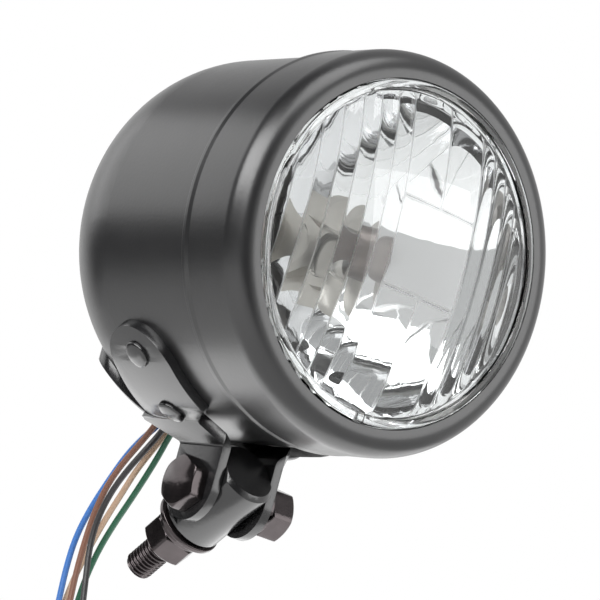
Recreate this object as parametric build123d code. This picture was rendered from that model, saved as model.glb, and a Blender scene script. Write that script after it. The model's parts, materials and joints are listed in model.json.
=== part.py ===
"""Round motorcycle headlight with a riveted bottom bracket, a tilting pivot and a mounting stud.

Drawn in the lamp's own frame: the lens axis is Y, the lens faces -Y, the plane of the rim's lip
is y = 0 and +Z is up. On export everything moves so that the origin lies on the mounting stud.
Millimetres throughout.
"""
from build123d import *
import os
from math import asin, atan2, cos, degrees, pi, radians, sin, sqrt, tan

# Rim
LIP_OPENING_D = 109.4
RIM_FACE = 9.3
RIM_DEPTH = 28.0
RIM_WALL = 1.0
RIM_SHOULDER_R = 7.3
LIP_TURN_IN = 2.2

# Bucket
RIM_FIT = 0.2
BUCKET_WALL = 1.0
BUCKET_LENGTH = 120.0
BUCKET_COLLAR = 15.0
SHOULDER_R = 46.0
NOSE_R = 117.5

# Lens, seal and reflector
LENS_FIT = 0.3
LENS_SEAT = 2.6
LENS_EDGE = 4.6
LENS_WALL = 4.0
LENS_DOME_R = 150.0
LENS_LUG_W = 3.0
LENS_LUG = 1.2
FLUTE_PITCH = 6.2
FLUTE_RISE = 0.22
WIDE_FLUTE_RISE = 0.42
FLUTE_ROOT = 0.6
WINDOW_LEFT = -9.3
WINDOW_RIGHT = 21.0
WINDOW_TOP = 16.5
WINDOW_BOTTOM = -12.2
SEAL_THICKNESS = 1.6
SEAL_WIDTH = 3.0
REFLECTOR_WALL = 1.0
REFLECTOR_FOCUS = 20.0
REFLECTOR_MOUTH_R = 53.0
NECK_R = 19.0
NECK_LENGTH = 6.5
CLIP_COUNT = 4
CLIP_WIDTH = 11.0
CLIP_WALL = 0.8
CLIP_LIP = 2.2

# Bulb, boot and connector
BULB_FLANGE_R = 21.0
BULB_FLANGE = 1.2
BULB_TAB_W = 6.0
BULB_TAB_REACH = 2.0
BULB_GLASS_R = 8.0
BULB_LENGTH = 31.0
BULB_CAP_LENGTH = 7.0
BULB_CAP_WALL = 0.5
BULB_BASE_R = 10.0
BULB_BASE_LENGTH = 11.0
BULB_COLLAR = 4.0
BULB_COLLAR_WALL = 3.0
BULB_SOCKET = 3.0
BLADE_W = 7.6
BLADE_T = 0.8
BLADE_LENGTH = 9.0
BLADE_SPREAD = 8.0
SPRING_WIRE = 1.4
SPRING_R = 14.5
SPRING_BENDS = 12
BOOT_WALL = 2.0
BOOT_GRIP = 4.0
CONNECTOR_SIZE = 25.0
CONNECTOR_LENGTH = 15.0
CONNECTOR_ROUND = 3.0
BLADE_FIT = 0.2

# Parking light
PILOT_DROP = 36.0
PILOT_GLASS_R = 4.4
PILOT_GLASS_LENGTH = 15.0
PILOT_TUBE_R = 7.0
PILOT_TUBE_WALL = 1.2
PILOT_TUBE_PROUD = 2.0
PILOT_PLUG = 4.5
PILOT_HOLDER_R = 6.2
PILOT_HOLDER_LENGTH = 12.0
PILOT_FLANGE = 2.0

# Rim screw at the top of the rim
RIM_SCREW_D = 5.0
RIM_SCREW_HEAD_D = 9.0
RIM_SCREW_HEAD = 2.4
RIM_SCREW_SLOT = 1.1
RIM_SCREW_SLOT_W = 1.2
RIM_SCREW_LENGTH = 8.0
RIM_SCREW_BACK = 8.0
RIM_NUT_SIZE = 9.0
RIM_NUT_T = 3.0
HOLE_FIT = 0.2

# Bracket: two mirrored halves, each with a side arm, a rear arm and a pivot ear
BRACKET_T = 3.2
BRACKET_SEAT = 0.05
ARM_WIDTH = 31.0
ARM_FOOT_FLARE = 4.5
ARM_NOTCH = 8.6
ARM_NOTCH_RUN = 5.7
ARM_OFFSET = 2.3
ARM_TIP_ANGLE = 51.0
ARM_FOOT_ANGLE = 17.0
FLANGE_SLOPE = 38.0
BEND_R = 3.0
EAR_HALF_WIDTH = 11.6
EAR_FLARE_REAR = 14.0
REAR_ARM_REACH = 29.6
REAR_ARM_WIDTH = 22.0
REAR_ARM_SPREAD = 54.5
REAR_ARM_BACK = 5.9
REAR_TIP_ROUND = 9.0
WIRE_CHANNEL = 9.0
RIVET_D = 4.8
RIVET_HEAD_D = 9.4
RIVET_HEAD = 2.0
RIVET_EDGE = 0.5
RIVET_TAIL_D = 8.0
RIVET_TAIL = 1.4
RIVET_FIT = 0.05
UPPER_RIVET_ANGLE = 42.5
LOWER_RIVET_ANGLE = 21.5
LOWER_RIVET_BACK = 2.0
UPPER_RIVET_BACK = -0.8

# Pivot
PIVOT_BEHIND_RIM = 30.7
PIVOT_DROP = 19.3
EAR_GAP = 18.8
PIVOT_D = 10.0
EAR_HOLE_FIT = 0.25
PIVOT_RUNNING_FIT = 0.05
HEX_AF = 16.0
BOLT_HEAD = 5.6
BOLT_HEAD_TURN = 28.0
NUT_HEIGHT = 8.8
PIVOT_NUT_TURN = 12.0
MOUNT_NUT_TURN = 18.0
BOLT_TIP = 2.2
LOCK_WASHER_D = 18.2
LOCK_WASHER_T = 3.0
LOCK_SLIT = 1.4
THREAD_CHAMFER = 1.0

# Pivot block and mounting stud
BLOCK_D = 22.0
BLOCK_NOSE = 14.0
BLOCK_TAIL = 15.2
BLOCK_EDGE = 1.5
BLOCK_SIDE_FIT = 0.3
BLOCK_SHOULDER_FIT = 1.0
STUD_D = 10.0
STUD_DROP = 38.0
STUD_ROOT = 9.0
STUD_FREE = 14.8
STUD_HELD_D = 9.0
STUD_RELIEF = 0.5
STUD_FIT = 0.02
WASHER_D = 23.0
WASHER_T = 1.8
WASHER_FIT = 0.25

# Wires
WIRE_D = 2.1
WIRE_STRIP = 7.0
WIRE_EXIT_RUN = 5.0
WIRE_CORE_D = 1.3
GROMMET_BACK = 24.0
GROMMET_CORE_R = 5.6
GROMMET_LIP = 1.9
GROMMET_OUT = 2.4
GROMMET_IN = 1.8
WIRE_RING_R = 3.1
LEAD_RUN = 9.0

# Values that follow from the sizes above
LIP_R = LIP_OPENING_D / 2
RIM_R = LIP_R + RIM_FACE
BUCKET_R = RIM_R - RIM_WALL - RIM_FIT
BUCKET_FRONT = RIM_DEPTH - BUCKET_COLLAR
LENS_Y = RIM_WALL + LENS_FIT
LENS_BACK = LENS_Y + LENS_EDGE
SEAL_BACK = LENS_BACK + SEAL_THICKNESS
FLANGE_BACK = SEAL_BACK + REFLECTOR_WALL
LENS_R = LIP_R + LENS_SEAT
DISH_VERTEX = SEAL_BACK + REFLECTOR_MOUTH_R ** 2 / (4 * REFLECTOR_FOCUS)
NECK_START = DISH_VERTEX - NECK_R ** 2 / (4 * REFLECTOR_FOCUS)
NECK_END = NECK_START + NECK_LENGTH
BULB_BACK = NECK_END + BULB_FLANGE
EAR_IN = EAR_GAP / 2
EAR_OUT = EAR_IN + BRACKET_T
SHELL_IN = BUCKET_R + BRACKET_SEAT
SHELL_OUT = SHELL_IN + BRACKET_T
SHOULDER_INSET = BUCKET_R - SHOULDER_R
SHOULDER_START = BUCKET_LENGTH - NOSE_R + sqrt((NOSE_R - SHOULDER_R) ** 2 - SHOULDER_INSET ** 2)
PIVOT_Y = RIM_DEPTH + PIVOT_BEHIND_RIM
PIVOT_Z = -BUCKET_R - PIVOT_DROP
ARM_CENTRE = PIVOT_Y + ARM_OFFSET
SIDE_RIVETS = ((UPPER_RIVET_ANGLE, UPPER_RIVET_BACK), (LOWER_RIVET_ANGLE, LOWER_RIVET_BACK))
GROMMET_Y = SHOULDER_START + GROMMET_BACK
DOME_EDGE = LIP_R - LENS_FIT
DOME_CENTRE = RIM_WALL + sqrt(LENS_DOME_R ** 2 - DOME_EDGE ** 2)
LENS_INNER_R = DOME_EDGE - LENS_WALL
WASHER_START = BLOCK_TAIL
LOCK_START = WASHER_START + WASHER_T
NUT_START = LOCK_START + LOCK_WASHER_T
NUT_END = NUT_START + NUT_HEIGHT
STUD_TIP = NUT_END + STUD_FREE
FREE_START = NUT_END + STUD_RELIEF
MOUNT_AT = (FREE_START + STUD_TIP - THREAD_CHAMFER) / 2

# The stud's frame at the pivot: local z runs down the stud, local x along the pivot bolt
STUD_DIRECTION = Vector(0, cos(radians(STUD_DROP)), -sin(radians(STUD_DROP)))
PIVOT_POINT = Vector(0, PIVOT_Y, PIVOT_Z)
STUD_PLANE = Plane(origin=PIVOT_POINT, x_dir=(1, 0, 0), z_dir=STUD_DIRECTION)
BOLT_PLANE = Plane(origin=PIVOT_POINT, x_dir=(0, 1, 0), z_dir=(1, 0, 0))
ORIGIN_SHIFT = Pos(*(-(PIVOT_POINT + STUD_DIRECTION * MOUNT_AT)))


def turned(outline):
    """Solid of revolution about the lens axis; the outline has radius on x and depth on y."""
    return revolve(make_face(outline), Axis.Y, 360)


def bullet(offset, front):
    """The bucket's outer form, grown by offset: a cylinder, a shoulder arc and a blunt nose arc."""
    radius = BUCKET_R + offset
    shoulder = Vector(SHOULDER_INSET, SHOULDER_START)
    nose = Vector(0, BUCKET_LENGTH - NOSE_R)
    turn = atan2(shoulder.Y - nose.Y, shoulder.X - nose.X)

    def on_arc(centre, arc_radius, angle):
        return centre + Vector(cos(angle), sin(angle)) * arc_radius

    shoulder_arc = [on_arc(shoulder, SHOULDER_R + offset, turn * step) for step in (0, 0.5, 1)]
    nose_arc = [on_arc(nose, NOSE_R + offset, turn + (radians(90) - turn) * step) for step in (0, 0.5, 1)]
    outline = [
        Polyline((0, front), (radius, front), (radius, SHOULDER_START)),
        ThreePointArc(*shoulder_arc),
        ThreePointArc(*nose_arc),
        Line((0, BUCKET_LENGTH + offset), (0, front)),
    ]
    return turned(outline)


def bucket_radius(y):
    """Outer radius of the bucket at a depth on its cylinder or shoulder."""
    if y <= SHOULDER_START:
        return BUCKET_R
    return SHOULDER_INSET + sqrt(SHOULDER_R ** 2 - (y - SHOULDER_START) ** 2)


def bucket_place(angle, y, height=0.0):
    """Plane on the bucket's outside; angle is from straight down towards -X, local z points out."""
    radius = bucket_radius(y)
    reach = max(y - SHOULDER_START, 0)
    axial = reach / SHOULDER_R
    radial = sqrt(1 - axial ** 2)
    side = Vector(-sin(radians(angle)), 0, -cos(radians(angle)))
    normal = side * radial + Vector(0, axial, 0)
    point = side * radius + Vector(0, y, 0) + normal * height
    along = Vector(-cos(radians(angle)), 0, sin(radians(angle)))
    return Plane(origin=point, x_dir=along, z_dir=normal)


def both_sides(shape):
    return [shape, mirror(shape, about=Plane.YZ)]


def rod(radius, start, end):
    """Cylinder along local z from start to end."""
    return Pos(0, 0, start) * Cylinder(radius, end - start, align=(Align.CENTER, Align.CENTER, Align.MIN))


def ring(inner, outer, start, end):
    return rod(outer, start, end) - rod(inner, start - 1, end + 1)


def hexagon(start, end, crown_low, crown_high):
    """Hexagon prism on local z with its corners crowned at the ends asked for."""
    corner = HEX_AF / sqrt(3)
    drop = (corner - HEX_AF / 2) * tan(radians(30)) + 0.2
    flat = HEX_AF / 2 * 0.97
    low = flat if crown_low else corner
    high = flat if crown_high else corner
    outline = Polyline((0, start), (low, start), (corner, start + drop), (corner, end - drop), (high, end),
                       (0, end), close=True)
    crown = Rot(90, 0, 0) * turned([outline])
    prism = extrude(RegularPolygon(HEX_AF / 2, 6, major_radius=False), end - start)
    return (Pos(0, 0, start) * prism) & crown


def split_ring(inner, outer, thickness):
    """Spring washer: a ring cut through on a slant."""
    slit = Pos((inner + outer) / 2, 0, thickness / 2) * Rot(25, 0, 0) * Box(outer, LOCK_SLIT, thickness * 3)
    return ring(inner, outer, 0, thickness) - slit


def make_rim():
    shoulder = RIM_R - RIM_SHOULDER_R
    inner_r = RIM_SHOULDER_R - RIM_WALL
    bend = sqrt(0.5)
    inside = RIM_R - RIM_WALL
    outline = [
        Polyline((shoulder, 0), (LIP_R, 0), (LIP_R, LIP_TURN_IN), (LIP_R + RIM_WALL, LIP_TURN_IN),
                 (LIP_R + RIM_WALL, RIM_WALL), (shoulder, RIM_WALL)),
        ThreePointArc((shoulder, RIM_WALL),
                      (shoulder + inner_r * bend, RIM_SHOULDER_R - inner_r * bend),
                      (inside, RIM_SHOULDER_R)),
        Polyline((inside, RIM_SHOULDER_R), (inside, RIM_DEPTH), (RIM_R - RIM_WALL * 0.3, RIM_DEPTH),
                 (RIM_R, RIM_DEPTH - RIM_WALL * 0.7), (RIM_R, RIM_SHOULDER_R)),
        ThreePointArc((RIM_R, RIM_SHOULDER_R),
                      (shoulder + RIM_SHOULDER_R * bend, RIM_SHOULDER_R * (1 - bend)),
                      (shoulder, 0)),
    ]
    screw_hole = screw_plane() * rod(RIM_SCREW_D / 2 + HOLE_FIT, -3 * RIM_WALL, RIM_WALL)
    return turned(outline) - screw_hole


def screw_plane():
    """On the rim's outside at the top, local z pointing out."""
    return Plane(origin=(0, RIM_DEPTH - RIM_SCREW_BACK, RIM_R), x_dir=(1, 0, 0), z_dir=(0, 0, 1))


def make_rim_screw():
    head = rod(RIM_SCREW_HEAD_D / 2, 0, RIM_SCREW_HEAD)
    head = fillet(head.edges().group_by(Axis.Z)[-1], RIM_SCREW_HEAD * 0.6)
    slot = Pos(0, 0, RIM_SCREW_HEAD) * Box(RIM_SCREW_HEAD_D, RIM_SCREW_SLOT_W, 2 * RIM_SCREW_SLOT)
    return screw_plane() * (head - slot + rod(RIM_SCREW_D / 2, -RIM_SCREW_LENGTH, 0))


def make_rim_screw_nut():
    """Square nut that hangs inside the bucket's collar."""
    seat = RIM_R - BUCKET_R + BUCKET_WALL
    crown = BUCKET_R - BUCKET_WALL
    sag = crown - sqrt(crown ** 2 - (RIM_NUT_SIZE / 2) ** 2)
    nut = Pos(0, 0, -seat - sag - RIM_NUT_T / 2) * Box(RIM_NUT_SIZE, RIM_NUT_SIZE, RIM_NUT_T)
    return screw_plane() * (nut - rod(RIM_SCREW_D / 2 + STUD_FIT, -seat - 3 * RIM_NUT_T, 0))


def dome_depth(radius, inset=0.0):
    """Depth of the lens's outer dome at a radius, or of the face inset behind it."""
    return DOME_CENTRE - sqrt((LENS_DOME_R - inset) ** 2 - radius ** 2)


def dome_arc(edge, inset=0.0):
    """Half section of a dome from the lens axis to an edge radius."""
    return ThreePointArc(*[(radius, dome_depth(radius, inset)) for radius in (0, edge / 2, edge)])


def flute(left, right, low, high, rise):
    """Cylindrical rib on the lens's inner dome between two sides, from a low to a high edge."""
    inner = LENS_DOME_R - LENS_WALL
    middle = (left + right) / 2
    crown = (middle, dome_depth(middle, LENS_WALL) + rise)
    section = make_face([
        ThreePointArc((left, dome_depth(left, LENS_WALL)), crown, (right, dome_depth(right, LENS_WALL))),
        Polyline((right, dome_depth(right, LENS_WALL)), (right, dome_depth(right, LENS_WALL) - FLUTE_ROOT),
                 (left, dome_depth(left, LENS_WALL) - FLUTE_ROOT), (left, dome_depth(left, LENS_WALL))),
    ])
    start = -degrees(asin(high / inner))
    sweep_angle = -degrees(asin(low / inner)) - start
    centre = Vector(0, DOME_CENTRE, 0)
    tilted = Pos(*centre) * Rot(start, 0, 0) * Pos(*-centre) * section
    return revolve(tilted, Axis(centre, (1, 0, 0)), sweep_angle)


def make_flutes():
    """Full-height flutes at both sides and wide ones above and below the clear window."""
    reach = LENS_INNER_R + LENS_WALL
    ribs = []
    left = WINDOW_LEFT
    while left - FLUTE_PITCH > -LENS_INNER_R:
        ribs.append(flute(left - FLUTE_PITCH, left, -reach, reach, FLUTE_RISE))
        left -= FLUTE_PITCH
    right = WINDOW_RIGHT
    while right + FLUTE_PITCH < LENS_INNER_R:
        ribs.append(flute(right, right + FLUTE_PITCH, -reach, reach, FLUTE_RISE))
        right += FLUTE_PITCH
    middle = (WINDOW_LEFT + WINDOW_RIGHT) / 2
    for low, high in ((WINDOW_TOP, reach), (-reach, WINDOW_BOTTOM)):
        ribs.append(flute(WINDOW_LEFT, middle, low, high, WIDE_FLUTE_RISE))
        ribs.append(flute(middle, WINDOW_RIGHT, low, high, WIDE_FLUTE_RISE))
    return ribs


def make_lens():
    """Domed glass with a stepped seat, a locating lug under it and flutes on its inner face."""
    seat = LIP_TURN_IN + LENS_FIT
    outline = [
        dome_arc(DOME_EDGE),
        Polyline((DOME_EDGE, RIM_WALL), (DOME_EDGE, seat), (LENS_R, seat), (LENS_R, LENS_BACK),
                 (LENS_INNER_R, LENS_BACK), (LENS_INNER_R, dome_depth(LENS_INNER_R, LENS_WALL))),
        dome_arc(LENS_INNER_R, LENS_WALL),
        Line((0, dome_depth(0, LENS_WALL)), (0, dome_depth(0))),
    ]
    lens = turned(outline)
    well = AXIS_PLANE * rod(LENS_INNER_R, -LENS_DOME_R, LENS_BACK)
    for rib in make_flutes():
        lens += rib & well
    lug = Pos(0, RIM_WALL - LENS_LUG / 2, -DOME_EDGE + LENS_LUG_W / 2) * Box(LENS_LUG_W, LENS_LUG, LENS_LUG_W)
    return lens + lug


def make_lens_seal():
    return turned([Polyline((LENS_R, LENS_BACK), (LENS_R, SEAL_BACK), (LENS_R - SEAL_WIDTH, SEAL_BACK),
                            (LENS_R - SEAL_WIDTH, LENS_BACK), close=True)])


def dish_depth(radius):
    return DISH_VERTEX - radius ** 2 / (4 * REFLECTOR_FOCUS)


def make_reflector():
    """Parabolic dish with a seat flange, a bulb neck and a tube for the parking light."""
    steps = [REFLECTOR_MOUTH_R + (NECK_R - REFLECTOR_MOUTH_R) * step / 6 for step in range(7)]
    inside = [Vector(radius, dish_depth(radius)) for radius in steps]
    outside = []
    for radius, point in zip(steps, inside):
        slope = radius / (2 * REFLECTOR_FOCUS)
        outside.append(point + Vector(slope, 1).normalized() * REFLECTOR_WALL)
    root = Vector(NECK_R + REFLECTOR_WALL, dish_depth(NECK_R + REFLECTOR_WALL) + 2 * REFLECTOR_WALL)
    back = [point for point in outside if FLANGE_BACK < point.Y and NECK_R + 2 * REFLECTOR_WALL < point.X]
    outline = [
        Spline(*inside),
        Polyline(inside[-1], (NECK_R, NECK_END), (NECK_R + REFLECTOR_WALL, NECK_END), root, back[-1]),
        Spline(*reversed(back)),
        Polyline(back[0], (back[0].X + REFLECTOR_WALL, FLANGE_BACK), (LENS_R, FLANGE_BACK),
                 (LENS_R, SEAL_BACK), inside[0]),
    ]
    dish = turned(outline)
    length = PILOT_TUBE_END - PILOT_TUBE_START
    tube = PILOT_PLANE * rod(PILOT_TUBE_R, 0, length)
    hollow = PILOT_PLANE * rod(PILOT_TUBE_R - PILOT_TUBE_WALL, -PILOT_TUBE_R, length + 1)
    bowl = turned([Spline(*inside), Polyline(inside[-1], (0, inside[-1].Y), (0, inside[0].Y), inside[0])])
    return dish + (tube - bowl) - hollow


PILOT_TUBE_START = dish_depth(PILOT_DROP + PILOT_TUBE_R)
PILOT_TUBE_END = dish_depth(PILOT_DROP - PILOT_TUBE_R) + REFLECTOR_WALL + PILOT_TUBE_PROUD
PILOT_PLANE = Plane(origin=(0, PILOT_TUBE_START, -PILOT_DROP), x_dir=(1, 0, 0), z_dir=(0, 1, 0))
AXIS_PLANE = Plane(origin=(0, 0, 0), x_dir=(1, 0, 0), z_dir=(0, 1, 0))


def make_unit_clips():
    """Sheet spring clips: a foot on the rim's wall and a tongue behind the reflector's flange."""
    foot_r = RIM_R - RIM_WALL - BRACKET_SEAT
    depth = BUCKET_FRONT - FLANGE_BACK - HOLE_FIT
    tongue = Pos((LENS_R - CLIP_LIP + foot_r) / 2, 0, FLANGE_BACK + CLIP_WALL / 2) * Box(
        foot_r - LENS_R + CLIP_LIP, CLIP_WIDTH, CLIP_WALL)
    foot = Pos(foot_r - CLIP_WALL, 0, FLANGE_BACK + depth / 2) * Box(2 * CLIP_WALL, CLIP_WIDTH, depth)
    clip = (tongue + foot) & rod(foot_r, 0, RIM_DEPTH)
    return [AXIS_PLANE * Rot(0, 0, 45 + 360 * step / CLIP_COUNT) * clip for step in range(CLIP_COUNT)]


def make_bulb_base():
    flange = rod(BULB_FLANGE_R, NECK_END, BULB_BACK)
    tabs = [Rot(0, 0, 90 + 120 * step) * Pos(BULB_FLANGE_R, 0, (NECK_END + BULB_BACK) / 2)
            * Box(2 * BULB_TAB_REACH, BULB_TAB_W, BULB_FLANGE) for step in range(3)]
    collar = rod(BULB_GLASS_R + BULB_COLLAR_WALL, NECK_END - BULB_COLLAR, NECK_END)
    socket = rod(BULB_GLASS_R, NECK_END - 2 * BULB_COLLAR, NECK_END - BULB_COLLAR + BULB_SOCKET)
    barrel = rod(BULB_BASE_R, BULB_BACK, BULB_BACK + BULB_BASE_LENGTH)
    return AXIS_PLANE * (flange + tabs + collar + barrel - socket)


def make_bulb_glass():
    tube = rod(BULB_GLASS_R, NECK_END - BULB_LENGTH, NECK_END - BULB_COLLAR + BULB_SOCKET)
    tip = tube.edges().group_by(Axis.Z)[0]
    return AXIS_PLANE * fillet(tip, BULB_GLASS_R * 0.6)


def make_bulb_cap():
    """Shade over the tip of the glass."""
    outer = rod(BULB_GLASS_R + BULB_CAP_WALL, NECK_END - BULB_LENGTH - BULB_CAP_WALL,
                NECK_END - BULB_LENGTH + BULB_CAP_LENGTH)
    outer = fillet(outer.edges().group_by(Axis.Z)[0], BULB_GLASS_R * 0.6 + BULB_CAP_WALL)
    return AXIS_PLANE * outer - make_bulb_glass()


def blade_places():
    upright = Rot(0, 0, 90)
    return [Pos(-BLADE_SPREAD, 0, 0) * upright, Pos(BLADE_SPREAD, 0, 0) * upright, Pos(0, BLADE_SPREAD, 0)]


def make_bulb_contacts():
    start = BULB_BACK + BULB_BASE_LENGTH
    blade = Pos(0, 0, start + BLADE_LENGTH / 2) * Box(BLADE_W, BLADE_T, BLADE_LENGTH)
    return [AXIS_PLANE * place * blade for place in blade_places()]


def make_bulb_connector():
    start = BULB_BACK + BULB_BASE_LENGTH + 1
    block = Pos(0, 0, start + CONNECTOR_LENGTH / 2) * Box(CONNECTOR_SIZE, CONNECTOR_SIZE, CONNECTOR_LENGTH)
    block = fillet(block.edges().filter_by(Axis.Z), CONNECTOR_ROUND)
    slot = Pos(0, 0, start + BLADE_LENGTH / 2) * Box(
        BLADE_W + 2 * BLADE_FIT, BLADE_T + 2 * BLADE_FIT, BLADE_LENGTH + 2 * BLADE_FIT)
    for place in blade_places():
        block -= place * slot
    return AXIS_PLANE * block


def make_bulb_spring():
    """Open wire hoop that presses the bulb's flange on the neck, its legs hooked over the edge."""
    level = BULB_BACK + SPRING_WIRE / 2
    reach = BULB_FLANGE_R + SPRING_WIRE
    turns = [360 / SPRING_BENDS * (step + 0.5) for step in range(SPRING_BENDS)]
    legs = [(reach, turns[0]), (reach, turns[-1])]
    bends = legs[:1] + [(SPRING_R, turn) for turn in turns] + legs[1:]
    points = [Vector(radius * cos(radians(turn)), level, radius * sin(radians(turn)))
              for radius, turn in bends]
    return tube(points, SPRING_WIRE)[0]


def make_dust_boot():
    """Rubber cap that grips the reflector's neck and the bulb's barrel."""
    neck = NECK_R + REFLECTOR_WALL + STUD_FIT
    wide = BULB_FLANGE_R + BULB_TAB_REACH + SPRING_WIRE + HOLE_FIT
    start = NECK_END - BOOT_GRIP
    shelf = BULB_BACK + SPRING_WIRE + HOLE_FIT
    end = BULB_BACK + BULB_BASE_LENGTH - 1
    waist = BULB_BASE_R + BOOT_WALL
    outline = Polyline(
        (neck, start), (wide + BOOT_WALL, start), (wide + BOOT_WALL, shelf + BOOT_WALL),
        (waist, end - BOOT_WALL), (waist, end), (BULB_BASE_R, end), (BULB_BASE_R, shelf), (wide, shelf),
        (wide, NECK_END - BOOT_WALL), (neck, NECK_END - BOOT_WALL), close=True)
    return turned([outline])


def make_pilot_holder():
    """Push-in socket for the parking bulb."""
    end = PILOT_TUBE_END - PILOT_TUBE_START
    plug_r = PILOT_TUBE_R - PILOT_TUBE_WALL - STUD_FIT
    holder = rod(plug_r, end - PILOT_PLUG, end) + rod(PILOT_TUBE_R, end, end + PILOT_FLANGE)
    holder += rod(PILOT_HOLDER_R, end + PILOT_FLANGE, end + PILOT_HOLDER_LENGTH)
    return PILOT_PLANE * (holder - rod(PILOT_GLASS_R, end - 2 * PILOT_PLUG, end + PILOT_FLANGE))


def make_pilot_bulb():
    end = PILOT_TUBE_END - PILOT_TUBE_START + PILOT_FLANGE
    bulb = rod(PILOT_GLASS_R, end - PILOT_GLASS_LENGTH, end)
    return PILOT_PLANE * fillet(bulb.edges().group_by(Axis.Z)[0], PILOT_GLASS_R * 0.85)


def rear_arm_outline():
    """Plan of the -X half's rear arm: it starts behind the ear and runs out and back."""
    rear_of_ear = PIVOT_Y + EAR_HALF_WIDTH
    spread = radians(REAR_ARM_SPREAD)
    out = Vector(-sin(spread), cos(spread))
    across = Vector(cos(spread), sin(spread))
    crotch = Vector(-EAR_OUT, rear_of_ear + REAR_ARM_BACK)
    tip_outer = crotch + out * REAR_ARM_REACH
    tip_inner = tip_outer + across * REAR_ARM_WIDTH
    inner = tip_inner - out * (tip_inner.X + WIRE_CHANNEL) / out.X
    return crotch, tip_outer, tip_inner, inner, rear_of_ear


def make_bracket_half():
    """The -X half: a shell that hugs the bucket, cut to two arms, and a flange folded down into the ear."""
    shell = bullet(BRACKET_SEAT + BRACKET_T, BUCKET_FRONT) - bullet(BRACKET_SEAT, BUCKET_FRONT - 1)
    middle = (ARM_TIP_ANGLE + ARM_FOOT_ANGLE) / 2
    tip = SHELL_OUT * sin(radians(ARM_TIP_ANGLE - middle))
    round_r = ARM_WIDTH / 2
    arm_plane = bucket_place(middle, ARM_CENTRE)
    arm_plan = make_face(Polyline(
        (-tip, ARM_NOTCH - round_r), (ARM_NOTCH_RUN - tip, -round_r), (tip - round_r, -round_r),
        (tip - round_r, round_r), (-tip, round_r + ARM_FOOT_FLARE), close=True))
    arm_plan += Pos(tip - round_r, 0) * Circle(round_r)
    arm = extrude(arm_plane * arm_plan, BUCKET_R / 3, both=True) & shell

    crotch, tip_outer, tip_inner, inner, rear_of_ear = rear_arm_outline()
    start = rear_of_ear - BRACKET_T
    plan = make_face(Polyline((-EAR_OUT - BRACKET_T, start), crotch, tip_outer, tip_inner, inner,
                              (-WIRE_CHANNEL, start), close=True))
    tips = [plan.vertices().sort_by_distance(Vector(tip.X, tip.Y, 0))[0] for tip in (tip_outer, tip_inner)]
    plan = fillet(tips, REAR_TIP_ROUND)
    rear_arm = extrude(Plane.XY * plan, -BUCKET_R - 2 * BRACKET_T) & shell

    foot = radians(ARM_FOOT_ANGLE)
    mid_r = SHELL_IN + BRACKET_T / 2
    bend = Vector(-mid_r * sin(foot), -mid_r * cos(foot))
    lead_in = bend + Vector(-cos(foot), sin(foot)) * BRACKET_T * 0.3
    ear_mid = -(EAR_IN + EAR_OUT) / 2
    crease = Vector(ear_mid, bend.Y - (ear_mid - bend.X) * tan(radians(FLANGE_SLOPE)))
    low = PIVOT_Z - EAR_HALF_WIDTH
    section = trace(FilletPolyline(lead_in, bend, crease, (ear_mid, low), radius=BEND_R), BRACKET_T)
    front = PIVOT_Y - EAR_HALF_WIDTH
    back = rear_of_ear + EAR_FLARE_REAR
    fold = extrude(Plane((0, back, 0), x_dir=(1, 0, 0), z_dir=(0, -1, 0)) * section, back - front)
    step = ARM_CENTRE - round_r + ARM_NOTCH
    flange_plan = make_face(Polyline(
        (0, front), (-EAR_OUT, front), (bend.X, step), (bend.X - 2 * BRACKET_T, step),
        (bend.X - 2 * BRACKET_T, back), (bend.X, back), (-EAR_OUT, rear_of_ear), (0, rear_of_ear), close=True))
    ear_plan = Pos(PIVOT_Y, PIVOT_Z / 2) * Rectangle(BUCKET_R * 2, -PIVOT_Z)
    ear_plan += Pos(PIVOT_Y, PIVOT_Z) * Circle(EAR_HALF_WIDTH)
    side_plane = Plane(origin=(0, 0, 0), x_dir=(0, 1, 0), z_dir=(1, 0, 0))
    fold &= extrude(Plane.XY * flange_plan, 2 * PIVOT_Z)
    fold &= extrude(side_plane * ear_plan, -BUCKET_R)
    half = arm + rear_arm + (fold - bullet(BRACKET_SEAT, BUCKET_FRONT - 1))
    half -= BOLT_PLANE * rod(PIVOT_D / 2 + EAR_HOLE_FIT, -2 * EAR_OUT, 0)
    for place in rivet_places():
        half -= place * rod(RIVET_D / 2 + RIVET_FIT, -RIVET_TAIL, 2 * BRACKET_T)
    return half


def rivet_places():
    """Planes on the bucket under each rivet of the -X half."""
    return [bucket_place(angle, ARM_CENTRE + back) for angle, back in SIDE_RIVETS]


def make_rivet():
    """Domed head outside the arm, shank through arm and bucket, set tail inside the bucket."""
    seat = BRACKET_SEAT + BRACKET_T
    head_r = RIVET_HEAD_D / 2
    rise = RIVET_HEAD - RIVET_EDGE
    dome_r = (rise ** 2 + head_r ** 2) / (2 * rise)
    half_way = asin(head_r / dome_r) / 2
    top = seat + RIVET_HEAD
    dome = ThreePointArc((head_r, seat + RIVET_EDGE),
                         (dome_r * sin(half_way), top - dome_r * (1 - cos(half_way))),
                         (0, top))
    foot = Polyline((0, top), (0, seat), (head_r, seat), (head_r, seat + RIVET_EDGE))
    head = Rot(90, 0, 0) * turned([dome, foot])
    inner = SHOULDER_R - BUCKET_WALL
    sag = inner - sqrt(inner ** 2 - (RIVET_TAIL_D / 2) ** 2)
    tail_top = -BUCKET_WALL - sag
    return head + rod(RIVET_D / 2, tail_top, seat) + rod(RIVET_TAIL_D / 2, tail_top - RIVET_TAIL, tail_top)


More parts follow.
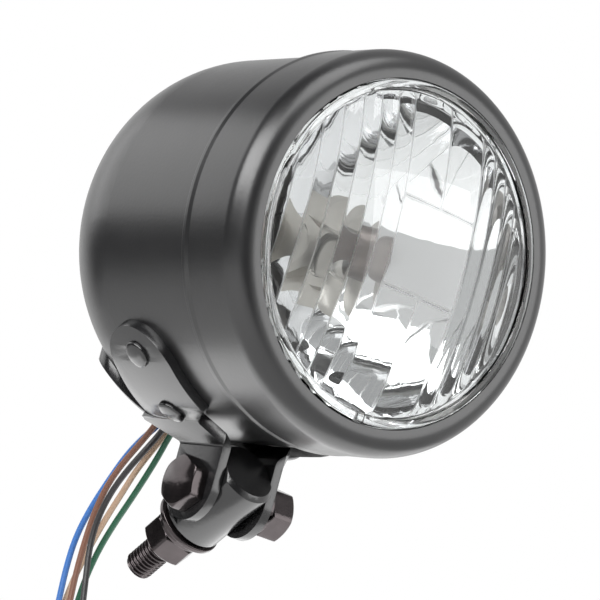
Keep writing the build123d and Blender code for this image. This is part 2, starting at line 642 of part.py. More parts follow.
def make_bucket():
    shell = bullet(0, BUCKET_FRONT) - bullet(-BUCKET_WALL, BUCKET_FRONT - 1)
    shell -= screw_plane() * rod(RIM_SCREW_D / 2 + HOLE_FIT, -6 * BUCKET_WALL, 0)
    shell -= GROMMET_PLANE * rod(GROMMET_CORE_R, -6 * BUCKET_WALL, 6 * BUCKET_WALL)
    for place in rivet_places():
        for hole in both_sides(place * rod(RIVET_D / 2 + RIVET_FIT, -4 * BUCKET_WALL, 4 * BUCKET_WALL)):
            shell -= hole
    return shell


GROMMET_PLANE = bucket_place(0, GROMMET_Y)


def make_wire_grommet():
    """Rubber ring in the bucket's hole, filled by the wires."""
    lip_r = GROMMET_CORE_R + GROMMET_LIP
    curve = lip_r ** 2 / (2 * SHOULDER_R)
    outer = rod(lip_r, -curve, GROMMET_OUT)
    outer = fillet(outer.edges().group_by(Axis.Z)[-1], GROMMET_OUT * 0.4)
    inner = rod(lip_r, -BUCKET_WALL - curve - GROMMET_IN, -BUCKET_WALL + curve)
    body = GROMMET_PLANE * (outer + inner + rod(GROMMET_CORE_R, -BUCKET_WALL - curve, GROMMET_OUT))
    wall = bullet(STUD_FIT, BUCKET_FRONT) - bullet(-BUCKET_WALL - STUD_FIT, BUCKET_FRONT - 1)
    core = GROMMET_PLANE * rod(GROMMET_CORE_R - STUD_FIT, -6 * BUCKET_WALL, 6 * BUCKET_WALL)
    return body - (wall - core)


def make_pivot_bolt():
    end = EAR_OUT + LOCK_WASHER_T + NUT_HEIGHT + BOLT_TIP
    head = hexagon(-EAR_OUT - BOLT_HEAD, -EAR_OUT, True, False)
    shank = rod(PIVOT_D / 2, -EAR_OUT, end)
    shank = chamfer(shank.edges().group_by(Axis.Z)[-1], THREAD_CHAMFER)
    return BOLT_PLANE * (shank + Rot(0, 0, BOLT_HEAD_TURN) * head)


def make_pivot_lock_washer():
    washer = split_ring(PIVOT_D / 2 + WASHER_FIT, LOCK_WASHER_D / 2, LOCK_WASHER_T)
    return BOLT_PLANE * Pos(0, 0, EAR_OUT) * Rot(0, 0, 200) * washer


def make_pivot_nut():
    start = EAR_OUT + LOCK_WASHER_T
    nut = hexagon(start, start + NUT_HEIGHT, True, True)
    thread = rod(PIVOT_D / 2 + STUD_FIT, start - NUT_HEIGHT, start + 2 * NUT_HEIGHT)
    return BOLT_PLANE * (Rot(0, 0, PIVOT_NUT_TURN) * nut - thread)


def make_pivot_block():
    """Round bar with a flat milled for each ear, cross-bored for the pivot bolt and tapped for the stud."""
    bar = rod(BLOCK_D / 2, -BLOCK_NOSE, BLOCK_TAIL)
    ends = bar.edges().filter_by(GeomType.CIRCLE)
    bar = chamfer(ends, BLOCK_EDGE)
    shoulder = EAR_HALF_WIDTH + BLOCK_SHOULDER_FIT
    flat = EAR_IN - BLOCK_SIDE_FIT
    for side in (-1, 1):
        cut = Box(BLOCK_D, 2 * BLOCK_D, shoulder + BLOCK_NOSE)
        bar -= Pos(side * (flat + BLOCK_D / 2), 0, (shoulder - BLOCK_NOSE) / 2) * cut
    bar -= rod(STUD_HELD_D / 2 + STUD_FIT, STUD_ROOT - STUD_FIT, BLOCK_TAIL + 1)
    bore = BOLT_PLANE * rod(PIVOT_D / 2 + PIVOT_RUNNING_FIT, -BLOCK_D, BLOCK_D)
    return STUD_PLANE * bar - bore


def make_mount_stud():
    """Held length at the thread's pitch diameter, free end at its full diameter."""
    free = rod(STUD_D / 2, FREE_START, STUD_TIP)
    free = chamfer(free.edges().group_by(Axis.Z)[-1], THREAD_CHAMFER)
    return STUD_PLANE * (free + rod(STUD_HELD_D / 2, STUD_ROOT, FREE_START))


def make_mount_washer():
    washer = ring(STUD_D / 2 + WASHER_FIT, WASHER_D / 2, WASHER_START, LOCK_START)
    return STUD_PLANE * washer


def make_mount_lock_washer():
    washer = split_ring(STUD_D / 2 + WASHER_FIT, LOCK_WASHER_D / 2, LOCK_WASHER_T)
    return STUD_PLANE * Pos(0, 0, LOCK_START) * Rot(0, 0, 20) * washer


def make_mount_nut():
    nut = hexagon(NUT_START, NUT_END, True, True)
    thread = rod(STUD_HELD_D / 2 + STUD_FIT, NUT_START - 1, NUT_END + 1)
    return STUD_PLANE * (Rot(0, 0, MOUNT_NUT_TURN) * nut - thread)


# Loose wires: points chosen by hand after the photographed run, from the grommet's face downwards
WIRE_SPOTS = {"blue": 90, "beige": 18, "brown": 162, "black": 234, "green": 306}
WIRE_ROUTES = {
    "blue": [(-2.4, 106.2, -66.0), (-3.8, 111.0, -73.0), (-4.0, 117.2, -82.9), (-4.1, 122.6, -92.5),
             (-4.2, 126.2, -102.5), (-4.1, 126.9, -113.0), (-4.0, 125.9, -125.0), (-3.6, 124.9, -142.0),
             (-3.5, 125.0, -162.0), (-3.8, 126.3, -182.0)],
    "beige": [(1.4, 104.3, -69.0), (-0.4, 107.8, -76.8), (-1.0, 111.6, -85.5), (-1.0, 117.0, -95.0),
              (-1.0, 122.3, -107.0), (-0.9, 126.4, -119.0), (-0.6, 128.6, -134.0), (-0.2, 128.8, -152.0),
              (0.4, 128.2, -172.0)],
    "brown": [(-4.2, 104.4, -68.6), (-5.0, 110.2, -76.2), (-5.2, 115.2, -84.5), (-5.2, 118.0, -94.0),
              (-5.1, 119.0, -104.5), (-5.0, 119.0, -116.0), (-4.9, 117.4, -130.0), (-4.6, 116.2, -148.0),
              (-4.3, 116.4, -168.0), (-4.2, 117.8, -188.0)],
    "black": [(-4.6, 100.2, -71.0), (-6.5, 104.4, -78.8), (-7.1, 108.9, -86.5), (-7.3, 112.0, -95.5),
              (-7.2, 112.3, -105.5), (-7.1, 109.6, -116.0), (-7.0, 106.4, -128.0), (-6.7, 103.9, -144.0),
              (-6.5, 103.1, -162.0), (-6.6, 103.9, -180.0)],
    "green": [(2.2, 101.6, -71.4), (2.1, 105.8, -79.5), (2.0, 110.6, -87.8), (1.9, 115.6, -96.0),
              (1.8, 120.0, -105.0), (1.7, 122.9, -115.5), (1.8, 124.0, -128.0), (2.0, 123.4, -144.0),
              (2.3, 122.6, -162.0), (2.6, 122.8, -181.0)],
}


def wire_spot(name, height):
    """Where a wire meets the grommet, at a height along the grommet's axis."""
    spot = radians(WIRE_SPOTS[name])
    local = Vector(-WIRE_RING_R * cos(spot), WIRE_RING_R * sin(spot), height)
    return GROMMET_PLANE.from_local_coords(local)


def corner_radii(points):
    """Each corner's arc is as large as its two runs allow."""
    radii = []
    for before, here, after in zip(points, points[1:], points[2:]):
        arrive, leave = here - before, after - here
        half_turn = radians(arrive.get_angle(leave)) / 2
        radii.append(0.45 * min(arrive.length, leave.length) / tan(half_turn))
    return radii


def tube(points, diameter):
    path = FilletPolyline(*points, radius=corner_radii(points))
    return sweep(Plane(origin=path @ 0, z_dir=path % 0) * Circle(diameter / 2), path=path), path


def make_wire(name):
    points = [wire_spot(name, GROMMET_OUT), wire_spot(name, GROMMET_OUT + WIRE_EXIT_RUN)]
    points += [Vector(*point) for point in WIRE_ROUTES[name]]
    body, path = tube(points, WIRE_D)
    radii = corner_radii(points)
    filled = body.volume / (path.length * pi * WIRE_D ** 2 / 4)
    spread = f"radii {min(radii):.1f} to {max(radii):.1f}"
    print(f"wire_{name}: {path.length:.1f} mm, {spread}, volume ratio {filled:.4f}")
    end = Plane(origin=path @ 1, z_dir=path % 1) * rod(WIRE_CORE_D / 2, 0, WIRE_STRIP)
    return body, end


def make_inner_leads():
    """Five leads from the grommet's inner face to the connector and the parking light's socket."""
    connector_back = BULB_BACK + BULB_BASE_LENGTH + 1 + CONNECTOR_LENGTH
    holder_back = PILOT_TUBE_END + PILOT_HOLDER_LENGTH
    spread = CONNECTOR_SIZE / 4
    starts = {
        "brown": Vector(-spread, connector_back, -spread),
        "blue": Vector(0, connector_back, spread),
        "beige": Vector(spread, connector_back, -spread),
        "black": Vector(-PILOT_HOLDER_R / 2, holder_back, -PILOT_DROP),
        "green": Vector(PILOT_HOLDER_R / 2, holder_back, -PILOT_DROP),
    }
    leads = []
    back = -BUCKET_WALL - (GROMMET_CORE_R + GROMMET_LIP) ** 2 / (2 * SHOULDER_R) - GROMMET_IN
    for name, start in starts.items():
        end = wire_spot(name, back)
        out = start + Vector(0, LEAD_RUN, 0)
        rise = wire_spot(name, back - LEAD_RUN)
        leads.append(tube([start, out, rise, end], WIRE_D)[0])
    return leads


def export(node, shape):
    solids = shape if isinstance(shape, list) else [shape]
    moved = [ORIGIN_SHIFT * solid for solid in solids]
    export_step(moved[0] if len(moved) == 1 else Compound(children=moved), f"parts/{node}.step")


os.makedirs("parts", exist_ok=True)
half = make_bracket_half()
rivets = [copy for place in rivet_places() for copy in both_sides(place * make_rivet())]
bracket_left, bracket_right = both_sides(half)
nodes = {
    "rim": make_rim(),
    "rim_screw": make_rim_screw(),
    "rim_screw_nut": make_rim_screw_nut(),
    "lens": make_lens(),
    "lens_seal": make_lens_seal(),
    "reflector": make_reflector(),
    "unit_clips": make_unit_clips(),
    "bulb_glass": make_bulb_glass(),
    "bulb_cap": make_bulb_cap(),
    "bulb_base": make_bulb_base(),
    "bulb_contacts": make_bulb_contacts(),
    "bulb_spring": make_bulb_spring(),
    "bulb_connector": make_bulb_connector(),
    "dust_boot": make_dust_boot(),
    "pilot_bulb": make_pilot_bulb(),
    "pilot_holder": make_pilot_holder(),
    "inner_leads": make_inner_leads(),
    "bucket": make_bucket(),
    "wire_grommet": make_wire_grommet(),
    "bracket_left": bracket_left,
    "bracket_right": bracket_right,
    "bracket_rivets": rivets,
    "pivot_bolt": make_pivot_bolt(),
    "pivot_lock_washer": make_pivot_lock_washer(),
    "pivot_nut": make_pivot_nut(),
    "pivot_block": make_pivot_block(),
    "mount_stud": make_mount_stud(),
    "mount_washer": make_mount_washer(),
    "mount_lock_washer": make_mount_lock_washer(),
    "mount_nut": make_mount_nut(),
}
wire_ends = []
for colour in WIRE_ROUTES:
    nodes[f"wire_{colour}"], wire_end = make_wire(colour)
    wire_ends.append(wire_end)
nodes["wire_ends"] = wire_ends
for node, shape in nodes.items():
    export(node, shape)
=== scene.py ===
"""Dresses the round headlight: satin paint, fluted glass, mirror, threads, rivets and loose wires."""
import json
from math import atan2, cos, pi, radians, sin, sqrt, tan

import bmesh
import bpy
from bpy.props import FloatProperty, FloatVectorProperty, IntProperty, PointerProperty
from mathutils import Matrix, Vector


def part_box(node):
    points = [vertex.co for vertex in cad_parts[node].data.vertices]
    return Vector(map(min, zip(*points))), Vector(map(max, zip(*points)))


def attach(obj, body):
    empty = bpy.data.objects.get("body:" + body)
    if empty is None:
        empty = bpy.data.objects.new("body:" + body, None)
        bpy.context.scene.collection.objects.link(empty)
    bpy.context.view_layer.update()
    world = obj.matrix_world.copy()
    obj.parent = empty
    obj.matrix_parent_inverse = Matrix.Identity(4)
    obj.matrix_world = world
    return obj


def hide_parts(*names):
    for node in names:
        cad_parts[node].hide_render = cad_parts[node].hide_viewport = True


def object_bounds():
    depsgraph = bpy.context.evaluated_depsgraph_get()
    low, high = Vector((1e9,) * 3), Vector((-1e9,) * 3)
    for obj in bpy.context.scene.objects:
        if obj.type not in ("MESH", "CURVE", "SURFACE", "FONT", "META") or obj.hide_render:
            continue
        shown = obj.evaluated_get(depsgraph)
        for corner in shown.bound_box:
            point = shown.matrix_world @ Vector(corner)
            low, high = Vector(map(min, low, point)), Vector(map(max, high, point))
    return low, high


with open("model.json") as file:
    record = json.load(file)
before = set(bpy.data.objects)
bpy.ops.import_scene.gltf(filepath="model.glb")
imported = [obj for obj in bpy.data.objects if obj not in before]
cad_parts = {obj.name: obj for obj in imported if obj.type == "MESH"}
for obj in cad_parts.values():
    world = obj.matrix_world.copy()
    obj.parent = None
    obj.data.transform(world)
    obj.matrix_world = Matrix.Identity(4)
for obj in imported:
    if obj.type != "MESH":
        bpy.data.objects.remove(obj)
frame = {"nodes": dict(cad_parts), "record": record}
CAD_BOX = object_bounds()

bl_info = {
    "name": "Round Headlight Dressing",
    "version": (1, 0, 0),
    "blender": (4, 5, 0),
    "location": "View3D > Sidebar > Headlight",
    "description": "Dresses the headlight's solids with paint, glass, mirror, threads, rivets and wires",
    "category": "Object",
}

MM = 0.001
WELD_REACH = 2e-6
RECORD = frame["record"]
RIM_LOW, RIM_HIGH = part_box("rim")
LIP_CENTRE = Vector((0, RIM_LOW.y, (RIM_LOW.z + RIM_HIGH.z) / 2))
PIVOT = Vector(RECORD["behaviour"]["joints"][0]["pos_m"])
STUD_AXIS = Vector(RECORD["mounts"][0]["axis"])

# Rim and bucket, in millimetres from the centre of the rim's lip
RIM_R = 64.0
RIM_SHOULDER_R = 7.3
RIM_DEPTH = 28.0
RIM_WALL = 1.0
ROLL_RISE = 0.35
ROLL_START = 3.2
ROLL_FULL = 1.7
LIP_R = 54.7
LIP_TURN_IN = 2.2
BUCKET_R = 62.8
SHOULDER_R = 46.0
SHOULDER_START = 71.998
SHOULDER_INSET = BUCKET_R - SHOULDER_R
BRACKET_OUT = 3.25

# Lens, in millimetres from the same centre; the bead's steps are (inset from the dome's edge, depth)
DOME_R = 150.0
DOME_EDGE = 54.4
DOME_EDGE_DEPTH = 1.0
DOME_CENTRE = DOME_EDGE_DEPTH + sqrt(DOME_R ** 2 - DOME_EDGE ** 2)
LENS_WALL = 4.0
LENS_INNER_R = DOME_EDGE - LENS_WALL
LENS_R = 57.3
LENS_BACK = 5.9
LENS_SEAT = 2.5
LENS_ROUND = 0.4
LENS_INNER_ROUND = 0.3
SEAT_ROUND = 0.2
BEAD_IN = 51.2
BEAD_STEPS = [(0.0, 0.2), (0.15, -0.35), (0.5, -0.75), (1.0, -0.95), (1.7, -1.0), (2.4, -0.95)]
BEAD_FOOT = 0.5
BEAD_FOOT_RISE = 0.25
FRONT_RINGS = 20
LUG_SIZE = 3.0
LUG_RISE = 2.4
LUG_ROUND = 0.3

# Clear window of the lens and the narrow flutes beside it
WINDOW_LEFT = -9.3
WINDOW_RIGHT = 21.0
WINDOW_TOP = 16.5
WINDOW_BOTTOM = -12.2
WINDOW_EDGE = 0.12
FLUTES_LEFT = 6
FLUTES_RIGHT = 4

# Wires: the points that part.py routes them by beyond the grommet, in millimetres in the lamp's own frame
GROMMET_BACK = 24.0
GROMMET_OUT = 2.4
WIRE_EXIT_RUN = 5.0
WIRE_RING_R = 3.1
WIRE_SPOTS = {"blue": 90, "beige": 18, "brown": 162, "black": 234, "green": 306}
WIRES = {
    "blue": [(-2.4, 106.2, -66.0), (-3.8, 111.0, -73.0), (-4.0, 117.2, -82.9), (-4.1, 122.6, -92.5),
             (-4.2, 126.2, -102.5), (-4.1, 126.9, -113.0), (-4.0, 125.9, -125.0), (-3.6, 124.9, -142.0),
             (-3.5, 125.0, -162.0), (-3.8, 126.3, -182.0)],
    "beige": [(1.4, 104.3, -69.0), (-0.4, 107.8, -76.8), (-1.0, 111.6, -85.5), (-1.0, 117.0, -95.0),
              (-1.0, 122.3, -107.0), (-0.9, 126.4, -119.0), (-0.6, 128.6, -134.0), (-0.2, 128.8, -152.0),
              (0.4, 128.2, -172.0)],
    "brown": [(-4.2, 104.4, -68.6), (-5.0, 110.2, -76.2), (-5.2, 115.2, -84.5), (-5.2, 118.0, -94.0),
              (-5.1, 119.0, -104.5), (-5.0, 119.0, -116.0), (-4.9, 117.4, -130.0), (-4.6, 116.2, -148.0),
              (-4.3, 116.4, -168.0), (-4.2, 117.8, -188.0)],
    "black": [(-4.6, 100.2, -71.0), (-6.5, 104.4, -78.8), (-7.1, 108.9, -86.5), (-7.3, 112.0, -95.5),
              (-7.2, 112.3, -105.5), (-7.1, 109.6, -116.0), (-7.0, 106.4, -128.0), (-6.7, 103.9, -144.0),
              (-6.5, 103.1, -162.0), (-6.6, 103.9, -180.0)],
    "green": [(2.2, 101.6, -71.4), (2.1, 105.8, -79.5), (2.0, 110.6, -87.8), (1.9, 115.6, -96.0),
              (1.8, 120.0, -105.0), (1.7, 122.9, -115.5), (1.8, 124.0, -128.0), (2.0, 123.4, -144.0),
              (2.3, 122.6, -162.0), (2.6, 122.8, -181.0)],
}

# Bared wire ends, in millimetres, and the twist of their strands in radians to the metre
STRAND_R = 0.22
STRAND_RING_R = 0.43
BARED_LENGTH = 7.5
BARED_TUCK = 0.5
STRAND_TWIST = 420.0

# Pivot and stud: stations in millimetres from the pivot's axis, along the bolt and along the stud
BOLT_HEAD_START = -18.2
EAR_OUT = 12.6
PIVOT_NUT_START = 15.6
PIVOT_NUT_END = 24.4
BOLT_TIP = 26.6
STUD_ROOT = 9.0
STUD_WASHER = 15.2
STUD_LOCK = 17.0
STUD_NUT_START = 20.0
STUD_NUT_END = 28.8
STUD_TIP = 43.6
BAR_ROUND = 0.3

# Threads, hexagons and washers, in millimetres; turns about their own axes in degrees
THREAD_R = 5.0
THREAD_CHAMFER = 1.0
THREAD_SIDES = 56
THREAD_ROWS = 10
HEX_FLATS = 16.0
HEX_STEPS = 10
HEX_EDGE = 0.18
HEX_CORNER_REACH = 1.13
HEX_FACE_SHARE = 0.94
CROWN_START_SHARE = 0.96
CROWN_SLOPE = tan(radians(30))
BORE_CHAMFER = 0.8
PIVOT_NUT_BORE_R = 5.02
STUD_NUT_BORE_R = 4.52
BOLT_HEAD_TURN = 28
PIVOT_NUT_TURN = 12
STUD_NUT_TURN = 18
WASHER_BORE_R = 5.25
LOCK_WASHER_R = 9.1
FLAT_WASHER_R = 11.5
SPRING_HALF_GAP = 0.7
SPRING_GAP_LEAN = tan(radians(25))
SPRING_STEPS = 90
PIVOT_GAP_TURN = 200
STUD_GAP_TURN = 20

# Rivets of the -X half: where each meets the bucket and which way its head points
RIVETS = [
    ((-42.427, 60.2, -46.301), (-0.6756, 0.0, -0.7373)),
    ((-23.016, 63.0, -58.43), (-0.3665, 0.0, -0.9304)),
]
RIVET_EDGE = 0.5

# Soft lights: offset from the lip's centre and size in metres, watts, and whether they show through glass
SOFTBOXES = [
    ("top_softbox", (-0.11, -0.53, 0.93), (0.8, 0.7), 6.5, True),
    ("back_softbox", (-0.54, 1.0, 0.36), (0.8, 0.7), 3.0, False),
    ("side_softbox", (-0.94, -0.3, 0.46), (1.4, 0.6), 20.0, False),
    ("front_softbox", (0.72, -0.92, 0.24), (0.7, 0.7), 4.0, False),
    ("table_bounce", (0.08, 0.1, -0.26), (0.5, 0.5), 1.4, False),
]
FLOOR_HALF = 0.8


def length(name, description, default):
    return FloatProperty(name=name, description=description, default=default, unit="LENGTH",
                         subtype="DISTANCE")


def colour(name, description, default):
    return FloatVectorProperty(name=name, description=description, default=default, subtype="COLOR", size=3,
                               min=0, max=1)


def angle(name, description, default):
    return FloatProperty(name=name, description=description, default=radians(default), subtype="ANGLE")


class HeadlightSizes(bpy.types.PropertyGroup):
    wire_diameter: length("Wire diameter", "Outside of each loose wire's insulation", 0.0021)
    strand_count: IntProperty(name="Strands", description="Outer strands in each bared wire end", default=6,
                              min=3)
    flute_pitch: length("Flute pitch", "Distance between the lens's side flutes", 0.0062)
    flute_rise: length("Flute rise", "Height of the lens's side flutes", 0.00032)
    wide_rise: length("Wide flute rise", "Height of the flutes above and below the clear window", 0.0006)
    thread_pitch: length("Thread pitch", "Rise of the stud's and the bolt's thread in one turn", 0.0015)
    thread_depth: length("Thread depth", "Depth of the thread's groove", 0.0008)
    rivet_radius: length("Rivet head radius", "Radius of each rivet's head", 0.0047)
    rivet_rise: length("Rivet head rise", "Height of the rivet's dome above its edge", 0.0015)
    edge_round: length("Edge rounding", "Radius at the edges of the bent sheet", 0.0005)


class HeadlightColours(bpy.types.PropertyGroup):
    paint: colour("Black paint", "Bucket, rim, bracket and pivot block", (0.008, 0.008, 0.0085))
    fastener: colour("Black plating", "Bolts, nuts and washers", (0.06, 0.052, 0.053))
    blue: colour("Blue wire", "Insulation of the blue wire", (0.03, 0.12, 0.36))
    beige: colour("Beige wire", "Insulation of the beige wire", (0.42, 0.29, 0.2))
    brown: colour("Brown wire", "Insulation of the brown wire", (0.15, 0.065, 0.04))
    black: colour("Black wire", "Insulation of the black wire", (0.02, 0.019, 0.02))
    green: colour("Green wire", "Insulation of the green wire", (0.01, 0.085, 0.042))


class HeadlightStage(bpy.types.PropertyGroup):
    azimuth: angle("Azimuth", "Camera's turn round the lamp from straight in front", -36.499)
    elevation: angle("Elevation", "Camera's height over the lens axis", -10.071)
    roll: angle("Roll", "Camera's roll about its line of sight", 15.17)
    distance: length("Distance", "Camera's distance from the lip's centre along its sight", 1.057225)
    aside: length("Aside", "Lip's centre right of the line of sight", 0.031617)
    above: length("Above", "Lip's centre above the line of sight", 0.014226)
    focal: FloatProperty(name="Focal length", description="Camera's lens in millimetres", default=204.0)
    floor_drop: length("Floor drop", "Floor's distance below the lowest wire", 0.12)


# Node trees

class Reading:
    """A node's output that takes part in sums and products."""

    def __init__(self, tree, socket):
        self.tree = tree
        self.socket = socket

    def other(self, name):
        return Reading(self.tree, self.socket.node.outputs[name])

    def sum_up(self, operation, first, second=0.0):
        return self.tree.node("ShaderNodeMath", {"operation": operation}, {0: first, 1: second})

    def __add__(self, other):
        return self.sum_up("ADD", self, other)

    __radd__ = __add__

    def __sub__(self, other):
        return self.sum_up("SUBTRACT", self, other)

    def __rsub__(self, other):
        return self.sum_up("SUBTRACT", other, self)

    def __mul__(self, other):
        return self.sum_up("MULTIPLY", self, other)

    __rmul__ = __mul__

    def __truediv__(self, other):
        return self.sum_up("DIVIDE", self, other)

    def __rtruediv__(self, other):
        return self.sum_up("DIVIDE", other, self)

    def __gt__(self, other):
        return self.sum_up("GREATER_THAN", self, other)

    def __lt__(self, other):
        return self.sum_up("LESS_THAN", self, other)

    def __abs__(self):
        return self.sum_up("ABSOLUTE", self)

    def fraction(self):
        return self.sum_up("FRACT", self)

    def least(self, other):
        return self.sum_up("MINIMUM", self, other)

    def most(self, other):
        return self.sum_up("MAXIMUM", self, other)

    def ramp(self, low, high, from_value=0.0, to_value=1.0):
        """Eased change between two values as this reading goes from low to high."""
        return self.tree.node("ShaderNodeMapRange", {"interpolation_type": "SMOOTHSTEP"},
                              {0: self, 1: low, 2: high, 3: from_value, 4: to_value})


class Tree:
    """Writes nodes into a material's, the world's or a geometry tree."""

    def __init__(self, nodes_of):
        self.nodes_of = nodes_of

    def node(self, kind, settings=None, sockets=None, output=0):
        made = self.nodes_of.nodes.new(kind)
        for name, value in (settings or {}).items():
            setattr(made, name, value)
        for key, value in (sockets or {}).items():
            if isinstance(value, Reading):
                self.nodes_of.links.new(value.socket, made.inputs[key])
            else:
                made.inputs[key].default_value = value
        return Reading(self, made.outputs[output]) if len(made.outputs) else made

    def mix(self, factor, first, second):
        """Colour between two colours."""
        first = first if isinstance(first, Reading) else (*first, 1.0)
        second = second if isinstance(second, Reading) else (*second, 1.0)
        return self.node("ShaderNodeMix", {"data_type": "RGBA"}, {0: factor, 6: first, 7: second}, output=2)

    def coordinates(self, scale=(1, 1, 1)):
        spot = self.node("ShaderNodeTexCoord", output="Object")
        return self.node("ShaderNodeMapping", {"vector_type": "TEXTURE"},
                         {"Vector": spot, "Scale": tuple(1 / s for s in scale)})

    def noise(self, scale, detail=2.0, vector=None):
        return self.node("ShaderNodeTexNoise", None, {
            "Vector": vector or self.coordinates(), "Scale": scale, "Detail": detail, "Roughness": 0.5})

    def bump(self, height, strength, distance):
        return self.node("ShaderNodeBump", None, {
            "Strength": strength, "Distance": distance, "Height": height})


def shade(name, build, **sockets):
    """New material whose Principled shader has fixed sockets, and others linked by build."""
    material = bpy.data.materials.new(name)
    material.use_nodes = True
    tree = Tree(material.node_tree)
    principled = material.node_tree.nodes["Principled BSDF"]
    for key, value in sockets.items():
        principled.inputs[key.replace("_", " ")].default_value = value
    for key, value in build(tree).items():
        material.node_tree.links.new(value.socket, principled.inputs[key])
    return material


def varied(tree, base, spread, scale):
    """The base colour, a little darker and lighter in soft clouds."""
    clouds = tree.noise(scale, 3.0)
    dark = tuple(max(c * (1 - spread), 0) for c in base)
    light = tuple(min(c * (1 + spread), 1) for c in base)
    return tree.mix(clouds, dark, light)


def black_paint(name, base, roughness):
    def build(tree):
        peel = tree.noise(900.0, 2.0)
        cloud = tree.noise(60.0, 3.0)
        return {"Base Color": varied(tree, base, 0.15, 90.0),
                "Roughness": roughness + 0.06 * cloud + 0.05 * peel,
                "Normal": tree.bump(peel, strength=0.06, distance=0.0004)}
    return shade(name, build, Specular_IOR_Level=0.75)


def black_plating(base):
    def build(tree):
        grain = tree.noise(1400.0, 3.0)
        cloud = tree.noise(160.0, 3.0)
        return {"Base Color": varied(tree, base, 0.25, 220.0),
                "Roughness": 0.09 + 0.08 * cloud,
                "Metallic": 0.8 + 0.2 * cloud,
                "Normal": tree.bump(grain, strength=0.08, distance=0.0003)}
    return shade("gloss_black_plating", build)


def bright_zinc():
    def build(tree):
        grain = tree.noise(1200.0, 3.0, vector=tree.coordinates((1, 6, 1)))
        return {"Base Color": varied(tree, (0.5, 0.48, 0.45), 0.08, 120.0),
                "Roughness": 0.26 + 0.14 * grain,
                "Normal": tree.bump(grain, strength=0.05, distance=0.0002)}
    return shade("bright_zinc_plate", build, Metallic=1.0)


def mirror_coat():
    def build(tree):
        wave = tree.noise(28.0, 1.0)
        return {"Base Color": varied(tree, (0.9, 0.9, 0.91), 0.03, 70.0),
                "Roughness": 0.015 + 0.03 * tree.noise(80.0),
                "Normal": tree.bump(wave, strength=0.10, distance=0.0008)}
    return shade("reflector_mirror_coat", build, Metallic=1.0)


def clear_glass(name, tint):
    """Clear glass, matt along the pressed lines that a ridge attribute marks."""
    def build(tree):
        wave = tree.noise(90.0, 1.0)
        ridge = tree.node("ShaderNodeAttribute", {"attribute_name": "ridge"}, output="Fac")
        return {"Base Color": varied(tree, tint, 0.01, 60.0),
                "Roughness": 0.004 + 0.008 * tree.noise(200.0) + 0.5 * ridge.ramp(0.25, 0.8),
                "Normal": tree.bump(wave, strength=0.04, distance=0.0002)}
    return shade(name, build, Transmission_Weight=1.0, IOR=1.5)


def grey_dip():
    def build(tree):
        cloud = tree.noise(300.0, 3.0)
        return {"Base Color": tree.mix(cloud, (0.14, 0.115, 0.105), (0.25, 0.22, 0.21)),
                "Roughness": 0.3 + 0.2 * cloud,
                "Normal": tree.bump(tree.noise(1500.0), strength=0.1, distance=0.0002)}
    return shade("bulb_grey_dip", build, Metallic=0.6)


def plain_brass():
    def build(tree):
        grain = tree.noise(900.0, 3.0, vector=tree.coordinates((1, 1, 5)))
        return {"Base Color": varied(tree, (0.72, 0.55, 0.27), 0.1, 200.0),
                "Roughness": 0.25 + 0.15 * grain}
    return shade("plain_brass", build, Metallic=1.0)


def matt_rubber(name, base):
    def build(tree):
        grain = tree.noise(1600.0, 3.0)
        return {"Base Color": varied(tree, base, 0.2, 120.0),
                "Roughness": 0.62 + 0.2 * grain,
                "Normal": tree.bump(grain, strength=0.15, distance=0.0003)}
    return shade(name, build)


def moulded_plastic(name, base):
    def build(tree):
        grain = tree.noise(1300.0, 2.0)
        return {"Base Color": varied(tree, base, 0.12, 150.0),
                "Roughness": 0.45 + 0.12 * grain,
                "Normal": tree.bump(grain, strength=0.1, distance=0.0002)}
    return shade(name, build)


def wire_sleeve(name, base):
    def build(tree):
        streak = tree.noise(500.0, 2.0, vector=tree.coordinates((1, 1, 0.12)))
        fine = tree.noise(2600.0, 2.0)
        return {"Base Color": varied(tree, base, 0.12, 260.0),
                "Roughness": 0.34 + 0.16 * streak,
                "Normal": tree.bump(fine, strength=0.05, distance=0.0002)}
    return shade(name, build)


def tinned_copper():
    def build(tree):
        fleck = tree.noise(1800.0, 2.0)
        return {"Base Color": tree.mix(fleck, (0.6, 0.57, 0.52), (0.76, 0.74, 0.7)),
                "Roughness": 0.22 + 0.2 * fleck}
    return shade("tinned_copper", build, Metallic=1.0)


def pale_floor():
    def build(tree):
        return {"Base Color": varied(tree, (0.7, 0.7, 0.7), 0.02, 3.0),
                "Roughness": 0.6 + 0.1 * tree.noise(30.0)}
    return shade("pale_floor", build)


def make_materials(colours):
    """One finish for each of the record's slots, and two that some of its pieces take instead."""
    made = {
        "black_paint": black_paint("satin_black_paint", colours.paint, 0.25),
        "bracket_paint": black_paint("gloss_black_paint", colours.paint, 0.17),
        "black_fastener": black_plating(colours.fastener),
        "zinc_steel": bright_zinc(),
        "lens_glass": clear_glass("lens_clear_glass", (0.97, 0.985, 0.98)),
        "bulb_envelope": clear_glass("bulb_clear_glass", (0.98, 0.98, 0.98)),
        "bulb_shade": grey_dip(),
        "reflector_mirror": mirror_coat(),
        "brass_contacts": plain_brass(),
        "black_rubber": matt_rubber("matt_black_rubber", (0.02, 0.02, 0.02)),
        "pale_seal": matt_rubber("pale_seal", (0.6, 0.6, 0.58)),
        "connector_plastic": moulded_plastic("connector_plastic", (0.05, 0.05, 0.05)),
        "lead_sleeve": wire_sleeve("lead_sleeve", (0.06, 0.06, 0.06)),
        "tinned_core": tinned_copper(),
    }
    for name in WIRES:
        made[f"{name}_wire"] = wire_sleeve(f"{name}_wire_sleeve", getattr(colours, name))
    return made


MATERIALS = {}
NODE_FINISHES = {"lens_seal": "pale_seal"}


# Places and meshes

